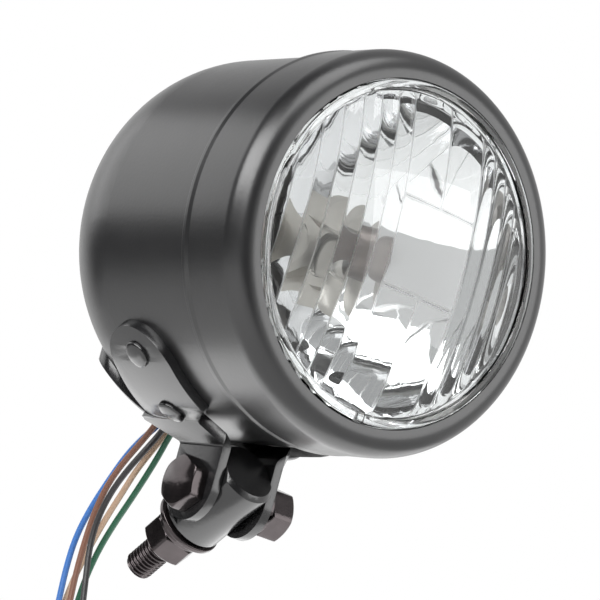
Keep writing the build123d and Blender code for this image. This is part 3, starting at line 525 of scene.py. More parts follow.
def place(origin, z_axis, x_axis):
    """Matrix from a frame in millimetres to the row frame in metres."""
    z = Vector(z_axis).normalized()
    x = Vector(x_axis)
    x = (x - z * x.dot(z)).normalized()
    y = z.cross(x)
    turn = Matrix((x, y, z)).transposed().to_4x4()
    return Matrix.Translation(origin) @ turn @ Matrix.Scale(MM, 4)


LENS_PLACE = place(LIP_CENTRE, (0, 1, 0), (1, 0, 0))
STUD_PLACE = place(PIVOT, STUD_AXIS, (1, 0, 0))
BOLT_PLACE = place(PIVOT, (1, 0, 0), (0, 1, 0))


def lamp_point(point):
    return LIP_CENTRE + Vector(point) * MM


def wire_route(name):
    """Points of a wire, straight out of the grommet first."""
    back = GROMMET_BACK / SHOULDER_R
    out = Vector((0, back, -sqrt(1 - back * back)))
    rear = Vector((0, -out.z, back))
    turn = radians(WIRE_SPOTS[name])
    spot = Vector((WIRE_RING_R * cos(turn), SHOULDER_START, -SHOULDER_INSET)) + out * SHOULDER_R
    spot += rear * WIRE_RING_R * sin(turn)
    run = [spot + out * GROMMET_OUT, spot + out * (GROMMET_OUT + WIRE_EXIT_RUN)]
    return [lamp_point(point) for point in run + WIRES[name]]


def rounded(corners, steps):
    """Outline through (x, y, radius) corners, each rounded by its radius where the sides leave room."""
    room = 0.8
    outline = []
    count = len(corners)
    for index, (x, y, radius) in enumerate(corners):
        here = Vector((x, y))
        before = Vector(corners[index - 1][:2]) - here
        after = Vector(corners[(index + 1) % count][:2]) - here
        if radius <= 0:
            outline.append(tuple(here))
            continue
        half = before.angle(after) / 2
        run = min(radius / tan(half), before.length * room, after.length * room)
        fitted = run * tan(half)
        centre = here + (before.normalized() + after.normalized()).normalized() * fitted / sin(half)
        first = here + before.normalized() * run - centre
        last = here + after.normalized() * run - centre
        for step in range(steps + 1):
            arm = first.lerp(last, step / steps).normalized() * fitted
            outline.append(tuple(centre + arm))
    return outline


def bridge(bm, lower, upper):
    """Faces between two rings; a ring of one vertex is a pole."""
    count = max(len(lower), len(upper))
    for k in range(count):
        n = (k + 1) % count
        if len(lower) == 1:
            bm.faces.new((lower[0], upper[n], upper[k]))
        elif len(upper) == 1:
            bm.faces.new((lower[k], lower[n], upper[0]))
        else:
            bm.faces.new((lower[k], lower[n], upper[n], upper[k]))


def rings_mesh(bm, rings, where, closed):
    """Adds rings of (x, y, z) points to a mesh and joins each with the next."""
    made = [[bm.verts.new(where @ Vector(point)) for point in ring] for ring in rings]
    for lower, upper in zip(made, made[1:] + made[:1] if closed else made[1:]):
        bridge(bm, lower, upper)


def turned_rings(outline, turns):
    """Rings of an outline of (radius, depth) pairs turned about z."""
    rings = []
    for radius, depth in outline:
        if radius < 1e-6:
            rings.append([(0, 0, depth)])
        else:
            rings.append([(radius * cos(2 * pi * k / turns), radius * sin(2 * pi * k / turns), depth)
                          for k in range(turns)])
    return rings


def new_piece(name, mesh, slot, body, node, sharp, finish=None):
    """Object with its slot's or another finish, riding on its body and standing for a CAD node."""
    mesh.shade_smooth()
    mesh.set_sharp_from_angle(angle=radians(sharp))
    mesh.materials.clear()
    mesh.materials.append(MATERIALS[finish or slot])
    piece = bpy.data.objects.new(name, mesh)
    bpy.context.scene.collection.objects.link(piece)
    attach(piece, body)
    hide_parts(node)
    return piece


def mesh_as_is(name, bm):
    mesh = bpy.data.meshes.new(name)
    bm.to_mesh(mesh)
    bm.free()
    return mesh


def mesh_from(name, bm):
    """Mesh with its faces turned outwards."""
    bmesh.ops.recalc_face_normals(bm, faces=bm.faces)
    return mesh_as_is(name, bm)


def turned_piece(name, outline, where, slot, body, node, turns, closed=True):
    bm = bmesh.new()
    rings_mesh(bm, turned_rings(outline, turns), where, closed)
    new_piece(name, mesh_from(name, bm), slot, body, node, sharp=35.0)


def baked(name, mesh, finish):
    """Plain mesh of a mesh with modifiers: finish adds them to a passing object."""
    passing = bpy.data.objects.new(name, mesh)
    bpy.context.scene.collection.objects.link(passing)
    finish(passing)
    ready = passing.evaluated_get(bpy.context.evaluated_depsgraph_get())
    result = bpy.data.meshes.new_from_object(ready)
    bpy.data.objects.remove(passing)
    result.name = name
    return result


def softened(name, node, body, width, segments):
    """A painted CAD node's shape with its sharp edges rounded over."""
    bm = bmesh.new()
    bm.from_mesh(frame["nodes"][node].data)
    bmesh.ops.remove_doubles(bm, verts=bm.verts, dist=WELD_REACH)
    bmesh.ops.dissolve_limit(bm, angle_limit=radians(1.0), verts=bm.verts, edges=bm.edges)

    def finish(passing):
        bevel = passing.modifiers.new("edge", "BEVEL")
        bevel.width = width
        bevel.segments = segments
        bevel.limit_method = "ANGLE"
        bevel.angle_limit = radians(40)
        bevel.use_clamp_overlap = True

    mesh = baked(name, mesh_as_is(name, bm), finish)
    new_piece(name, mesh, "black_paint", body, node, sharp=40.0, finish="bracket_paint")


def geometry_tree(name, inputs):
    """New geometry tree with named inputs: its writer, the inputs' readings and their identifiers."""
    group = bpy.data.node_groups.new(name, "GeometryNodeTree")
    group.interface.new_socket("Geometry", in_out="INPUT", socket_type="NodeSocketGeometry")
    identifiers = {}
    for label, kind in inputs.items():
        identifiers[label] = group.interface.new_socket(label, in_out="INPUT", socket_type=kind).identifier
    group.interface.new_socket("Geometry", in_out="OUTPUT", socket_type="NodeSocketGeometry")
    tree = Tree(group)
    source = tree.node("NodeGroupInput")
    readings = {label: source.other(label) for label in inputs}
    readings["Geometry"] = source.other("Geometry")
    return tree, readings, identifiers


def close_tree(tree, geometry, readings):
    """Ends a geometry tree: real geometry with its finish."""
    plain = tree.node("GeometryNodeRealizeInstances", None, {0: geometry})
    done = tree.node("GeometryNodeSetMaterial", None, {"Geometry": plain, "Material": readings["Finish"]})
    tree.node("NodeGroupOutput", None, {0: done})


def grown(name, mesh, recipe, values):
    """Plain mesh of what a geometry tree makes from a mesh and its input values."""
    tree, identifiers = recipe

    def finish(passing):
        modifier = passing.modifiers.new("grow", "NODES")
        modifier.node_group = tree.nodes_of
        for label, value in values.items():
            modifier[identifiers[label]] = value

    return baked(name, mesh, finish)


def position(tree):
    return tree.node("ShaderNodeSeparateXYZ", None, {0: tree.node("GeometryNodeInputPosition")})


def moved(tree, geometry, x, y, z):
    return tree.node("GeometryNodeSetPosition", None, {
        "Geometry": geometry, "Position": tree.node("ShaderNodeCombineXYZ", None, {0: x, 1: y, 2: z})})


# Geometry trees

FLOAT = "NodeSocketFloat"
MATERIAL = "NodeSocketMaterial"


def flute_tree():
    """Raises ribs on the lens's inner face: narrow at the sides, wide over and under a clear window."""
    tree, read, identifiers = geometry_tree("lens_flutes", {
        "Pitch": FLOAT, "Rise": FLOAT, "Wide Rise": FLOAT, "Window Left": FLOAT, "Window Right": FLOAT,
        "Window Top": FLOAT, "Window Bottom": FLOAT, "Left End": FLOAT, "Right End": FLOAT,
        "Finish": MATERIAL})
    at = position(tree)
    x, z = at, at.other("Z")
    inner = tree.node("GeometryNodeInputNamedAttribute", {"data_type": "FLOAT"}, {"Name": "inner"})

    def crown(phase):
        swing = 2 * phase - 1
        return 1 - swing * swing

    left, right = read["Window Left"], read["Window Right"]
    narrow_left = crown(((left - x) / read["Pitch"]).fraction()) * (x < left) * (x > read["Left End"])
    narrow_right = crown(((x - right) / read["Pitch"]).fraction()) * (x > right) * (x < read["Right End"])
    half = (right - left) / 2
    across = crown(((x - left) / half).fraction()) * (x > left) * (x < right)
    over = (z > read["Window Top"]) + (z < read["Window Bottom"])
    offset = (narrow_left + narrow_right) * read["Rise"] + across * over * read["Wide Rise"]
    ribbed = moved(tree, read["Geometry"], x, at.other("Y") + offset * inner, z)

    # Lines where two flutes meet, and the window's upper and lower edge
    line_start = 0.93
    near = 0.0002

    def edge(phase):
        return abs(2 * phase.fraction() - 1) > line_start

    beside = (x < left + near) * (x > read["Left End"] - near) * edge((left - x) / read["Pitch"])
    right_side = (x > right - near) * (x < read["Right End"] + near)
    beside = beside + right_side * edge((x - right) / read["Pitch"])
    between = (x > left) * (x < right)
    level = (abs(z - read["Window Top"]) < near) + (abs(z - read["Window Bottom"]) < near)
    lines = beside + between * (over * edge((x - left) / half) + level)
    marked = tree.node("GeometryNodeStoreNamedAttribute", {"data_type": "FLOAT", "domain": "POINT"},
                       {"Geometry": ribbed, "Name": "ridge", "Value": lines.least(1.0) * inner})
    close_tree(tree, marked, read)
    return tree, identifiers


def thread_tree():
    """Turns a flat unit grid into a threaded rod along z, closed at both ends and chamfered at its tip."""
    tree, read, identifiers = geometry_tree("screw_thread", {
        "Radius": FLOAT, "Depth": FLOAT, "Pitch": FLOAT, "Length": FLOAT, "Chamfer": FLOAT,
        "Finish": MATERIAL})
    at = position(tree)
    turn, along = at, at.other("Y")
    z = along * read["Length"]
    phase = (z / read["Pitch"] - turn).fraction()
    crest_end = 0.12
    root_start = 0.88
    groove = (abs(phase - 0.5) * 2).ramp(crest_end, root_start)
    tip = read["Length"] - z
    radius = (read["Radius"] - groove * read["Depth"]).least(read["Radius"] - read["Chamfer"] + tip)
    end_row = 0.0001
    radius = radius * (along < 1 - end_row) * (along > end_row)
    angle_round = turn * (2 * pi)
    cosine = tree.node("ShaderNodeMath", {"operation": "COSINE"}, {0: angle_round})
    sine = tree.node("ShaderNodeMath", {"operation": "SINE"}, {0: angle_round})
    rod = moved(tree, read["Geometry"], radius * cosine, radius * sine, z)
    welded = tree.node("GeometryNodeMergeByDistance", None, {"Geometry": rod, "Distance": WELD_REACH})
    close_tree(tree, welded, read)
    return tree, identifiers


def rivet_tree():
    """Puts a domed head on each point, facing the way its stored direction points."""
    tree, read, identifiers = geometry_tree("rivet_heads", {
        "Radius": FLOAT, "Rise": FLOAT, "Edge": FLOAT, "Finish": MATERIAL})
    ball = tree.node("GeometryNodeMeshUVSphere", None, {"Segments": 40, "Rings": 24, "Radius": 1.0})
    at = position(tree)
    z = at.other("Z")
    # The ball's lower half is pressed flat
    height = (z > -0.001) * (read["Edge"] + z * read["Rise"])
    head = moved(tree, ball, at * read["Radius"], at.other("Y") * read["Radius"], height)
    out = tree.node("GeometryNodeInputNamedAttribute", {"data_type": "FLOAT_VECTOR"}, {"Name": "out"})
    facing = tree.node("FunctionNodeAlignRotationToVector", {"axis": "Z"}, {"Vector": out})
    heads = tree.node("GeometryNodeInstanceOnPoints", None, {
        "Points": read["Geometry"], "Instance": head, "Rotation": facing})
    smooth = tree.node("GeometryNodeSetShadeSmooth", None, {"Geometry": heads})
    close_tree(tree, smooth, read)
    return tree, identifiers


def strand_tree():
    """A straight core strand and a ring of strands twisted round it, along z."""
    tree, read, identifiers = geometry_tree("bared_strands", {
        "Strands": "NodeSocketInt", "Strand Radius": FLOAT, "Ring Radius": FLOAT, "Length": FLOAT,
        "Twist": FLOAT, "Finish": MATERIAL})
    end = tree.node("ShaderNodeCombineXYZ", None, {2: read["Length"]})
    line = tree.node("GeometryNodeCurvePrimitiveLine", None, {"End": end})
    line = tree.node("GeometryNodeResampleCurve", None, {"Curve": line, "Count": 14})
    ring = tree.node("GeometryNodeCurvePrimitiveCircle", None, {
        "Resolution": 8, "Radius": read["Strand Radius"]})
    strand = tree.node("GeometryNodeCurveToMesh", None, {
        "Curve": line, "Profile Curve": ring, "Fill Caps": True})
    spots = tree.node("GeometryNodeMeshCircle", None, {
        "Vertices": read["Strands"], "Radius": read["Ring Radius"]})
    outer = tree.node("GeometryNodeInstanceOnPoints", None, {"Points": spots, "Instance": strand})
    outer = tree.node("GeometryNodeRealizeInstances", None, {0: outer})
    both = tree.nodes_of.nodes.new("GeometryNodeJoinGeometry")
    for reading in (outer, strand):
        tree.nodes_of.links.new(reading.socket, both.inputs[0])
    spot = tree.node("GeometryNodeInputPosition")
    along = tree.node("ShaderNodeSeparateXYZ", None, {0: spot}).other("Z")
    twisted = tree.node("ShaderNodeVectorRotate", {"rotation_type": "Z_AXIS"}, {
        "Vector": spot, "Angle": along * read["Twist"]})
    rope = tree.node("GeometryNodeSetPosition", None, {
        "Geometry": Reading(tree, both.outputs[0]), "Position": twisted})
    close_tree(tree, rope, read)
    return tree, identifiers


# Threads, hexagons and washers

def unit_grid(name, across, along):
    """Flat grid of x and y from 0 to 1."""
    bm = bmesh.new()
    rows = [[bm.verts.new((u / across, v / along, 0)) for u in range(across + 1)] for v in range(along + 1)]
    for low, high in zip(rows, rows[1:]):
        for u in range(across):
            bm.faces.new((low[u], low[u + 1], high[u + 1], high[u]))
    return mesh_from(name, bm)


def threaded(name, node, body, where, start, end, sizes):
    """Threaded rod between two stations along a place's z."""
    run = end - start
    rows = int(run / (sizes.thread_pitch / MM) * THREAD_ROWS)
    values = {"Radius": THREAD_R * MM, "Depth": sizes.thread_depth, "Pitch": sizes.thread_pitch,
              "Length": run * MM, "Chamfer": THREAD_CHAMFER * MM, "Finish": MATERIALS["black_fastener"]}
    mesh = grown(name, unit_grid(name, THREAD_SIDES, rows), thread_tree(), values)
    mesh.transform(where @ Matrix.Translation((0, 0, start)) @ Matrix.Scale(1 / MM, 4))
    bm = bmesh.new()
    bm.from_mesh(mesh)
    bmesh.ops.recalc_face_normals(bm, faces=bm.faces)
    bm.to_mesh(mesh)
    bm.free()
    new_piece(name, mesh, "black_fastener", body, node, sharp=50.0)


def hex_directions(turn):
    """Directions and reaches of a unit hexagon's outline, its corners a little rounded."""
    found = []
    for side in range(6):
        for step in range(HEX_STEPS):
            off = -30 + 60 * step / HEX_STEPS
            reach = min(1 / cos(radians(off)), HEX_CORNER_REACH)
            found.append((radians(turn + 60 * side + 30 + off), reach))
    return found


def hex_rings(low, high, bore, turn, crowned_top):
    """Rings of a hexagon, crowned below and, if so, on top, with a bore or closed by poles."""
    half = HEX_FLATS / 2
    directions = hex_directions(turn)

    def circle(radius, z):
        return [(radius * cos(a), radius * sin(a), z) for a, _ in directions]

    def side(z, towards, crowned, inset=0.0):
        ring = []
        for a, reach in directions:
            radius = half * reach - inset
            drop = max(radius - half * CROWN_START_SHARE, 0) * CROWN_SLOPE if crowned else 0
            ring.append((radius * cos(a), radius * sin(a), z - towards * drop))
        return ring

    face = half * HEX_FACE_SHARE
    sides = [circle(face, low), side(low, -1, True, HEX_EDGE), side(low + HEX_EDGE, -1, True),
             side(high - HEX_EDGE, 1, crowned_top), side(high, 1, crowned_top, HEX_EDGE), circle(face, high)]
    if not bore:
        return [[(0, 0, low)], *sides, [(0, 0, high)]]
    return [circle(bore, low + BORE_CHAMFER), circle(bore + BORE_CHAMFER, low), *sides,
            circle(bore + BORE_CHAMFER, high), circle(bore, high - BORE_CHAMFER)]


def hex_piece(name, node, body, where, low, high, turn, bore=0.0, crowned_top=True):
    bm = bmesh.new()
    rings_mesh(bm, hex_rings(low, high, bore, turn, crowned_top), where, bool(bore))
    new_piece(name, mesh_from(name, bm), "black_fastener", body, node, sharp=32.0)


def spring_washer(name, node, body, where, low, high, turn):
    """Split ring with a slanted gap and rounded edges."""
    section = rounded([(WASHER_BORE_R, low, 0.3), (LOCK_WASHER_R, low, 0.4), (LOCK_WASHER_R, high, 0.4),
                       (WASHER_BORE_R, high, 0.3)], steps=3)
    middle = (WASHER_BORE_R + LOCK_WASHER_R) / 2
    gap = SPRING_HALF_GAP / middle
    bm = bmesh.new()
    rings = []
    for step in range(SPRING_STEPS + 1):
        ring = []
        for radius, z in section:
            lean = (z - (low + high) / 2) * SPRING_GAP_LEAN / middle
            a = radians(turn) + gap + (2 * pi - 2 * gap) * step / SPRING_STEPS - lean
            ring.append(bm.verts.new(where @ Vector((radius * cos(a), radius * sin(a), z))))
        rings.append(ring)
    for lower, upper in zip(rings, rings[1:]):
        bridge(bm, lower, upper)
    bm.faces.new(rings[0])
    bm.faces.new(rings[-1])
    new_piece(name, mesh_from(name, bm), "black_fastener", body, node, sharp=40.0)


# Lens

def dome_depth(radius, inset=0.0):
    return DOME_CENTRE - sqrt((DOME_R - inset) ** 2 - radius ** 2)


def window_rows(half_height):
    """Heights of the inner face's rows at one column, closer at the window's two edges."""
    marks = [WINDOW_BOTTOM - WINDOW_EDGE, WINDOW_BOTTOM + WINDOW_EDGE,
             WINDOW_TOP - WINDOW_EDGE, WINDOW_TOP + WINDOW_EDGE]
    counts = [26, 1, 16, 1, 26]
    # A short column squeezes the marks together at its ends, still in order
    limit = half_height * 0.999
    fit = []
    for k, mark in enumerate(marks):
        fit.append(max(min(mark, limit * (0.9 + 0.01 * k)), -limit * (0.93 - 0.01 * k)))
    ends = [-half_height, *fit, half_height]
    rows = []
    for low, high, count in zip(ends, ends[1:], counts):
        rows += [low + (high - low) * k / count for k in range(count)]
    return rows + [half_height]


def window_columns(pitch):
    """Places of the inner face's columns: each flute's edges and steps between them."""
    marks = [WINDOW_LEFT - pitch * k for k in range(FLUTES_LEFT, -1, -1)]
    marks += [(WINDOW_LEFT + WINDOW_RIGHT) / 2]
    marks += [WINDOW_RIGHT + pitch * k for k in range(FLUTES_RIGHT + 1)]
    edge = LENS_INNER_R
    marks = [-edge] + [m for m in marks if abs(m) < edge] + [edge]
    narrow_steps = 12
    wide_steps = 24
    columns = []
    for low, high in zip(marks, marks[1:]):
        steps = wide_steps if high - low > pitch * 1.5 else narrow_steps
        columns += [low + (high - low) * k / steps for k in range(steps)]
    return columns + [edge]


def inner_dome(bm, pitch):
    """Plain inner face of the lens, marked for its flutes; gives its outer ring of vertices."""
    mark = bm.verts.layers.float.new("inner")
    grid = []
    for x in window_columns(pitch):
        half_height = sqrt(max(LENS_INNER_R ** 2 - x ** 2, 0))
        rows = [0.0] if half_height < 1e-3 else window_rows(half_height)
        line = []
        for z in rows:
            reach = sqrt(x * x + z * z)
            depth = dome_depth(min(reach, LENS_INNER_R), LENS_WALL)
            vert = bm.verts.new(LENS_PLACE @ Vector((x, -z, depth)))
            vert[mark] = 1.0 if reach < LENS_INNER_R - 0.05 else 0.0
            line.append(vert)
        grid.append(line)
    for first, second in zip(grid, grid[1:]):
        for k in range(max(len(first), len(second)) - 1):
            if len(first) == 1:
                bm.faces.new((first[0], second[k], second[k + 1]))
            elif len(second) == 1:
                bm.faces.new((first[k], second[0], first[k + 1]))
            else:
                bm.faces.new((first[k], second[k], second[k + 1], first[k + 1]))
    return [line[0] for line in grid] + [line[-1] for line in reversed(grid[1:-1])]


def lens_mesh(name, sizes):
    """Glass with a domed front, a raised bead, a stepped edge and an inner dome marked for its flutes."""
    bm = bmesh.new()
    rim = inner_dome(bm, sizes.flute_pitch / MM)
    angles = []
    for vert in rim:
        local = LENS_PLACE.inverted() @ vert.co
        angles.append(atan2(local.y, local.x))

    def ring(radius, depth):
        spots = [Vector((radius * cos(a), radius * sin(a), depth)) for a in angles]
        return [bm.verts.new(LENS_PLACE @ spot) for spot in spots]

    edge = [(LENS_INNER_R, LENS_BACK - LENS_INNER_ROUND), (LENS_INNER_R + LENS_INNER_ROUND, LENS_BACK),
            (LENS_R - LENS_ROUND, LENS_BACK), (LENS_R, LENS_BACK - LENS_ROUND),
            (LENS_R, LENS_SEAT + LENS_ROUND), (LENS_R - LENS_ROUND, LENS_SEAT),
            (DOME_EDGE + SEAT_ROUND, LENS_SEAT), (DOME_EDGE, LENS_SEAT - SEAT_ROUND)]
    edge += [(DOME_EDGE - inset, depth) for inset, depth in BEAD_STEPS]
    edge += [(BEAD_IN + BEAD_FOOT, dome_depth(BEAD_IN) - BEAD_FOOT_RISE), (BEAD_IN, dome_depth(BEAD_IN))]
    front = [BEAD_IN - BEAD_IN * k / FRONT_RINGS for k in range(1, FRONT_RINGS)]
    rings = [rim] + [ring(*pair) for pair in edge] + [ring(radius, dome_depth(radius)) for radius in front]
    pole = [bm.verts.new(LENS_PLACE @ Vector((0, 0, dome_depth(0))))]
    for lower, upper in zip(rings, rings[1:] + [pole]):
        bridge(bm, lower, upper)
    add_lug(bm)
    return mesh_from(name, bm)


def add_lug(bm):
    """Small block at the foot of the lens that keeps it from turning in the rim."""
    middle = Matrix.Translation((0, DOME_EDGE - LUG_SIZE / 2, DOME_EDGE_DEPTH - LUG_RISE / 2))
    block = Matrix.Diagonal((LUG_SIZE, LUG_SIZE, LUG_RISE, 1.0))
    lug = bmesh.ops.create_cube(bm, size=1.0, matrix=LENS_PLACE @ middle @ block)
    edges = {edge for vert in lug["verts"] for edge in vert.link_edges}
    bmesh.ops.bevel(bm, geom=list(edges), offset=LUG_ROUND * MM, segments=2, profile=0.5, affect="EDGES")


# Operators

class HEADLIGHT_OT_stage(bpy.types.Operator):
    """Sets the camera, the soft lights, the pale world and the floor"""
    bl_idname = "headlight.stage"
    bl_label = "Stage"

    def execute(self, context):
        stage = context.scene.headlight.stage
        self.add_camera(context, stage)
        self.add_world(context)
        self.add_lights(context)
        self.add_floor(context, stage)
        context.scene.view_settings.view_transform = "Standard"
        return {"FINISHED"}

    def add_camera(self, context, stage):
        a, e, roll = stage.azimuth, stage.elevation, stage.roll
        back = Vector((sin(a) * cos(e), -cos(a) * cos(e), sin(e)))
        level = Vector((cos(a), sin(a), 0))
        upright = back.cross(level)
        right = level * cos(roll) + upright * sin(roll)
        up = upright * cos(roll) - level * sin(roll)
        spot = LIP_CENTRE + back * stage.distance - right * stage.aside - up * stage.above
        data = bpy.data.cameras.new("camera")
        data.lens = stage.focal
        data.sensor_width = 36.0
        data.clip_start = 0.02
        data.clip_end = 30.0
        camera = bpy.data.objects.new("camera", data)
        camera.matrix_world = Matrix.Translation(spot) @ Matrix((right, up, back)).transposed().to_4x4()
        context.scene.collection.objects.link(camera)
        context.scene.camera = camera

    def add_world(self, context):
        """White to look at; in mirror and glass, white on one side and dim on the other; grey as light."""
        white = (1, 1, 1)
        soft_fill = (0.35, 0.35, 0.35)
        mirrored_room = (0.05, 0.05, 0.053)
        room_through_glass = (0.42, 0.42, 0.42)
        world = bpy.data.worlds.new("pale_studio")
        context.scene.world = world
        world.use_nodes = True
        tree = Tree(world.node_tree)
        background = world.node_tree.nodes["Background"]
        rays = tree.node("ShaderNodeLightPath", output="Is Camera Ray")
        mirror = rays.other("Is Glossy Ray").most(rays.other("Is Transmission Ray"))
        towards = tree.node("ShaderNodeTexCoord", output="Generated")
        aim = tree.node("ShaderNodeSeparateXYZ", None, {0: towards})
        ahead = aim.other("Y").ramp(-0.8, -0.2, 1.0, 0.0)
        open_side = (aim - 0.22 * ahead).ramp(-0.3, 0.05)
        overhead = aim.other("Z").ramp(0.35, 0.6)
        room = tree.mix(rays.other("Is Transmission Ray"), mirrored_room, room_through_glass)
        seen = tree.mix(open_side * (1 - 0.35 * overhead), room, white)
        lit = tree.mix(mirror, soft_fill, seen)
        shown = tree.mix(rays, lit, white)
        tree.nodes_of.links.new(shown.socket, background.inputs["Color"])

    def add_lights(self, context):
        for name, offset, (wide, high), power, through_glass in SOFTBOXES:
            data = bpy.data.lights.new(name, "AREA")
            data.shape = "RECTANGLE"
            data.size = wide
            data.size_y = high
            data.energy = power
            lamp = bpy.data.objects.new(name, data)
            lamp.location = LIP_CENTRE + Vector(offset)
            lamp.rotation_euler = (-Vector(offset)).to_track_quat("-Z", "Y").to_euler()
            lamp.visible_camera = False
            lamp.visible_transmission = through_glass
            context.scene.collection.objects.link(lamp)

    def add_floor(self, context, stage):
        low = CAD_BOX[0].z - stage.floor_drop
        bm = bmesh.new()
        bmesh.ops.create_grid(bm, x_segments=8, y_segments=8, size=FLOOR_HALF)
        bmesh.ops.translate(bm, verts=bm.verts, vec=(0, 0, low))
        mesh = mesh_as_is("floor", bm)
        mesh.materials.append(pale_floor())
        floor = bpy.data.objects.new("floor", mesh)
        context.scene.collection.objects.link(floor)


class HEADLIGHT_OT_wires(bpy.types.Operator):
    """Lays the five loose wires and their bared, twisted ends"""
    bl_idname = "headlight.wires"
    bl_label = "Wires"

    def execute(self, context):
        sizes = context.scene.headlight.sizes
        for name in WIRES:
            self.lay_wire(context, sizes, name, wire_route(name))
        return {"FINISHED"}

    def lay_wire(self, context, sizes, name, points):
        curve = bpy.data.curves.new(f"sleeve_{name}", "CURVE")
        curve.dimensions = "3D"
        curve.bevel_depth = sizes.wire_diameter / 2
        curve.bevel_resolution = 5
        curve.resolution_u = 8
        curve.use_fill_caps = True
        spline = curve.splines.new("NURBS")
        spline.points.add(len(points) - 1)
        for knot, point in zip(spline.points, points):
            knot.co = (*point, 1.0)
        spline.order_u = 3
        spline.use_endpoint_u = True
        slot = f"{name}_wire"
        curve.materials.append(MATERIALS[slot])
        sleeve = bpy.data.objects.new(f"sleeve_{name}", curve)
        context.scene.collection.objects.link(sleeve)
        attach(sleeve, "head")
        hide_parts(f"wire_{name}")
        core = self.bare_end(sizes, name, points[-1], points[-1] - points[-2])

    def bare_end(self, sizes, name, end, direction):
        """Twisted strands that start a little inside the wire's end."""
        values = {"Strands": sizes.strand_count, "Strand Radius": STRAND_R * MM,
                  "Ring Radius": STRAND_RING_R * MM, "Length": BARED_LENGTH * MM, "Twist": STRAND_TWIST,
                  "Finish": MATERIALS["tinned_core"]}
        label = f"core_{name}"
        mesh = grown(label, bpy.data.meshes.new(label), strand_tree(), values)
        where = place(end - direction.normalized() * BARED_TUCK * MM, direction, (1, 0, 0))
        mesh.transform(where @ Matrix.Scale(1 / MM, 4))
        return new_piece(label, mesh, "tinned_core", "head", "wire_ends", sharp=60.0)


class HEADLIGHT_OT_lamp_unit(bpy.types.Operator):
    """Makes the fluted lens and the hollow glass of both bulbs"""
    bl_idname = "headlight.lamp_unit"
    bl_label = "Lens and bulbs"

    def execute(self, context):
        self.add_lens(context.scene.headlight.sizes)
        self.add_envelope("bulb_envelope", "bulb_glass",
                          radius=8.0, tip=13.6, end=43.6, wall=0.8, drop=0.0)
        self.add_envelope("pilot_envelope", "pilot_bulb",
                          radius=4.4, tip=22.1, end=37.1, wall=0.6, drop=36.0)
        return {"FINISHED"}

    def add_envelope(self, name, node, radius, tip, end, wall, drop):
        """Thin glass cylinder with a domed tip, drop below the lens axis, in millimetres."""
        tip_round = 0.6
        bore = radius - wall
        outline = rounded([(0, tip, 0), (radius, tip, tip_round * radius), (radius, end, 0), (bore, end, 0),
                           (bore, tip + wall, tip_round * bore), (0, tip + wall, 0)], steps=9)
        where = LENS_PLACE @ Matrix.Translation((0, drop, 0))
        turned_piece(name, outline, where, "bulb_envelope", "head", node, turns=64, closed=False)

    def add_lens(self, sizes):
        pitch = sizes.flute_pitch
        lift = LIP_CENTRE.z
        values = {"Pitch": pitch, "Rise": sizes.flute_rise, "Wide Rise": sizes.wide_rise,
                  "Window Left": WINDOW_LEFT * MM, "Window Right": WINDOW_RIGHT * MM,
                  "Window Top": WINDOW_TOP * MM + lift, "Window Bottom": WINDOW_BOTTOM * MM + lift,
                  "Left End": WINDOW_LEFT * MM - FLUTES_LEFT * pitch,
                  "Right End": WINDOW_RIGHT * MM + FLUTES_RIGHT * pitch,
                  "Finish": MATERIALS["lens_glass"]}
        mesh = grown("lens_fluted", lens_mesh("lens_fluted", sizes), flute_tree(), values)
        new_piece("lens_fluted", mesh, "lens_glass", "head", "lens", sharp=25.0)


class HEADLIGHT_OT_rim(bpy.types.Operator):
    """Turns the rim with its round shoulder, its lip and the rolled edge over the bucket"""
    bl_idname = "headlight.rim"
    bl_label = "Rim"

    def execute(self, context):
        inside = RIM_R - RIM_WALL
        rolled = RIM_R + ROLL_RISE
        lip_inside = LIP_R + RIM_WALL
        outline = rounded([
            (LIP_R, 0, 0.3), (RIM_R, 0, RIM_SHOULDER_R), (RIM_R, RIM_DEPTH - ROLL_START, 2.0),
            (rolled, RIM_DEPTH - ROLL_FULL, 1.0), (rolled, RIM_DEPTH, 0.5), (inside, RIM_DEPTH, 0.2),
            (inside, RIM_WALL, RIM_SHOULDER_R - RIM_WALL), (lip_inside, RIM_WALL, 0),
            (lip_inside, LIP_TURN_IN, 0.2), (LIP_R, LIP_TURN_IN, 0.3)], steps=12)
        turned_piece("rim_shell", outline, LENS_PLACE, "black_paint", "head", "rim", turns=256)
        return {"FINISHED"}


class HEADLIGHT_OT_bracket(bpy.types.Operator):
    """Rounds the bracket halves' edges and sets the rivet heads"""
    bl_idname = "headlight.bracket"
    bl_label = "Bracket and rivets"

    def execute(self, context):
        sizes = context.scene.headlight.sizes
        for side in ("left", "right"):
            softened(f"bracket_sheet_{side}", f"bracket_{side}", "head", sizes.edge_round, 3)
        self.set_rivets(sizes)
        return {"FINISHED"}

    def set_rivets(self, sizes):
        bm = bmesh.new()
        out = bm.verts.layers.float_vector.new("out")
        for point, normal in RIVETS:
            for side in (1, -1):
                normal_here = Vector((normal[0] * side, normal[1], normal[2]))
                foot = lamp_point((point[0] * side, point[1], point[2])) + normal_here * BRACKET_OUT * MM
                bm.verts.new(foot)[out] = normal_here
        values = {"Radius": sizes.rivet_radius, "Rise": sizes.rivet_rise, "Edge": RIVET_EDGE * MM,
                  "Finish": MATERIALS["bracket_paint"]}
        mesh = grown("rivet_heads", mesh_as_is("rivet_heads", bm), rivet_tree(), values)
        new_piece("rivet_heads", mesh, "black_paint", "head", "bracket_rivets", sharp=50.0,
                  finish="bracket_paint")


